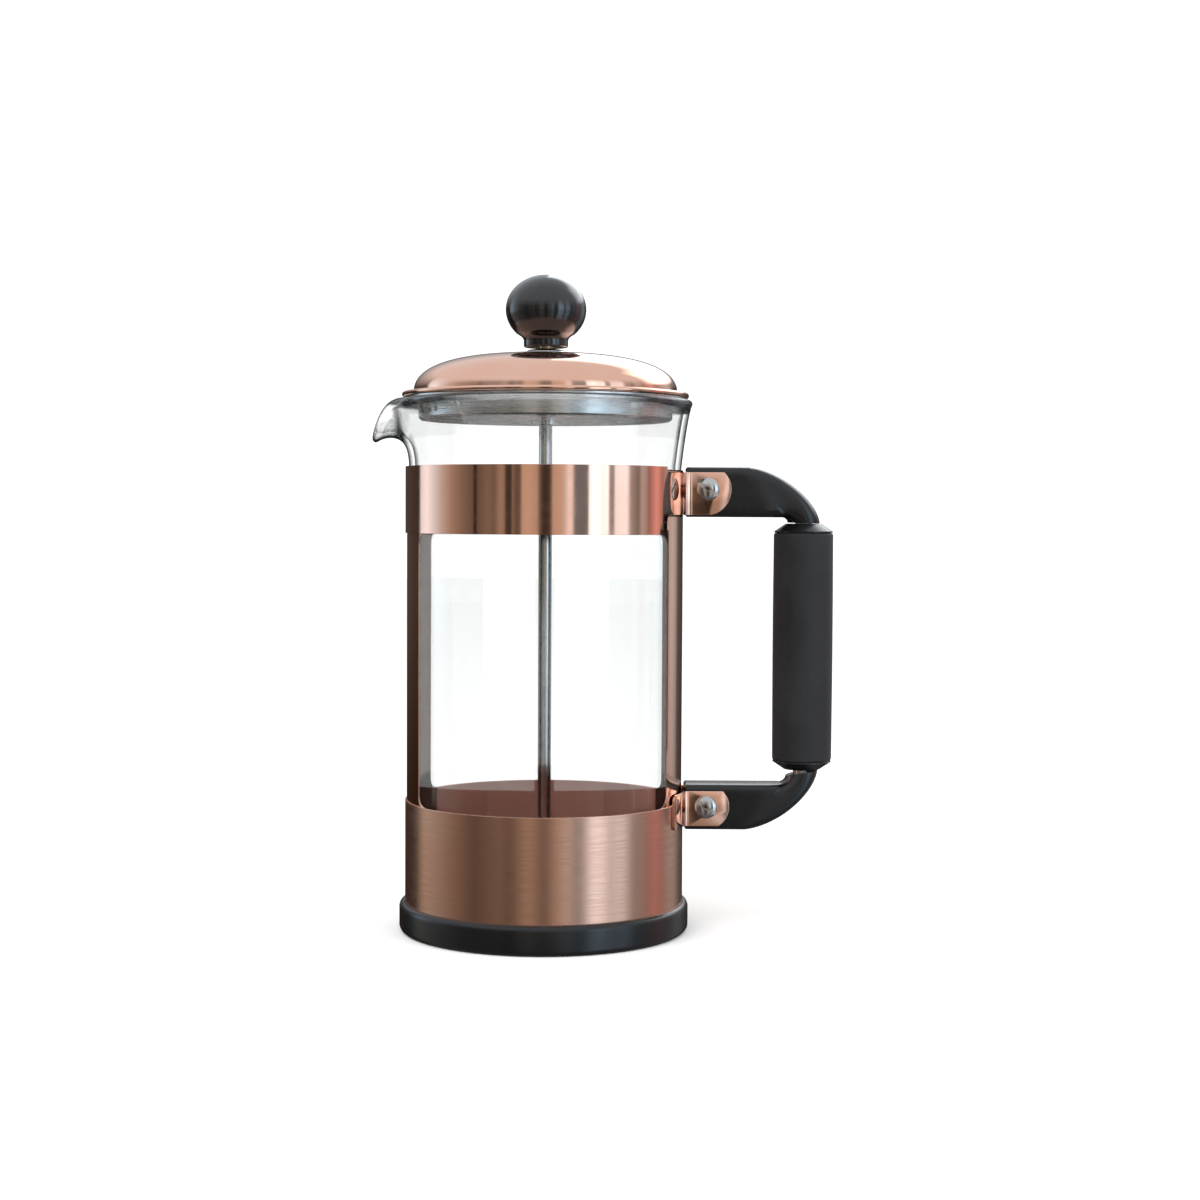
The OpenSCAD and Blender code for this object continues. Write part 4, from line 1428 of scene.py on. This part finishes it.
CAMERA_PLACE = (0.0199, -0.740, 0.1503)  # metres
CAMERA_DOWN, CAMERA_ROLL = 2.41, 0.29  # degrees
CAMERA_LENS, CAMERA_SENSOR = 61.47, 36  # millimetres
LAMP_AIM = (0, 0, 0.1)


def area_light(name, place, aim, size, power):
    """A soft square lamp that the copper doesn't mirror."""
    deselect_all()
    bpy.ops.object.light_add(type="AREA", location=place)
    lamp = bpy.context.object
    lamp.name = name
    lamp.data.size = size
    lamp.data.energy = power
    lamp.rotation_euler = (Vector(aim) - Vector(place)).to_track_quat("-Z", "Y").to_euler()
    lamp.visible_glossy = False
    lamp.visible_transmission = False


class FRENCHPRESS_OT_stage(PressOperator, bpy.types.Operator):
    """Set the floor, the lights and the camera"""

    bl_idname = "french_press.stage"
    bl_label = "Stage"

    def execute(self, context):
        deselect_all()
        bpy.ops.mesh.primitive_circle_add(vertices=96, radius=4, fill_type="NGON")
        floor = settle("floor")
        material, tree, shader = new_finish("floor_finish", Roughness=0.9)
        tint = tint_of("floor")
        toned = blend_colours(tree, grain(tree, 3, 2), tint, tuple(c * 1.02 for c in tint))
        tree.links.new(toned, shader.inputs["Base Color"])
        floor.data.materials.append(material)
        floor.visible_glossy = False
        studio_world()
        area_light("key_light", (-0.7, -0.9, 1.3), LAMP_AIM, 0.9, 12)
        area_light("fill_light", (1.0, -0.6, 0.8), LAMP_AIM, 0.8, 6)
        deselect_all()
        bpy.ops.object.camera_add(location=CAMERA_PLACE)
        camera = bpy.context.object
        tilt = Matrix.Rotation(math.radians(90 - CAMERA_DOWN), 3, "X")
        roll = Matrix.Rotation(math.radians(CAMERA_ROLL), 3, "Z")
        camera.rotation_euler = (tilt @ roll).to_euler()
        camera.data.lens = CAMERA_LENS
        camera.data.sensor_width = CAMERA_SENSOR
        context.scene.camera = camera
        context.scene.view_settings.view_transform = "Standard"
        return {"FINISHED"}


OPERATORS = (
    FRENCHPRESS_OT_base,
    FRENCHPRESS_OT_lower_band,
    FRENCHPRESS_OT_upper_band,
    FRENCHPRESS_OT_posts,
    FRENCHPRESS_OT_clips,
    FRENCHPRESS_OT_arms,
    FRENCHPRESS_OT_grip,
    FRENCHPRESS_OT_screws,
    FRENCHPRESS_OT_beaker,
    FRENCHPRESS_OT_lid,
    FRENCHPRESS_OT_plunger,
    FRENCHPRESS_OT_edge_coil,
    FRENCHPRESS_OT_inner_parts,
    FRENCHPRESS_OT_stage,
)


class FRENCHPRESS_PT_panel(bpy.types.Panel):
    """Lists the press's values and the steps that build it"""

    bl_label = "French Press"
    bl_idname = "FRENCHPRESS_PT_panel"
    bl_space_type = "VIEW_3D"
    bl_region_type = "UI"
    bl_category = "French Press"

    def draw(self, context):
        press = context.scene.french_press
        for name, group in GROUPS.items():
            box = self.layout.box()
            box.label(text=name.title())
            for value in group.__annotations__:
                box.prop(getattr(press, name), value)
        for operator in OPERATORS:
            self.layout.operator(operator.bl_idname)


CLASSES = (*GROUPS.values(), FrenchPress, *OPERATORS, FRENCHPRESS_PT_panel)


def register():
    for registered in CLASSES:
        bpy.utils.register_class(registered)
    bpy.types.Scene.french_press = PointerProperty(type=FrenchPress)


def unregister():
    del bpy.types.Scene.french_press
    for registered in reversed(CLASSES):
        bpy.utils.unregister_class(registered)


def main():
    """Builds the press and its stage."""
    register()
    for operator in OPERATORS:
        group, name = operator.bl_idname.split(".")
        getattr(getattr(bpy.ops, group), name)()


if __name__ == "__main__":
    main()
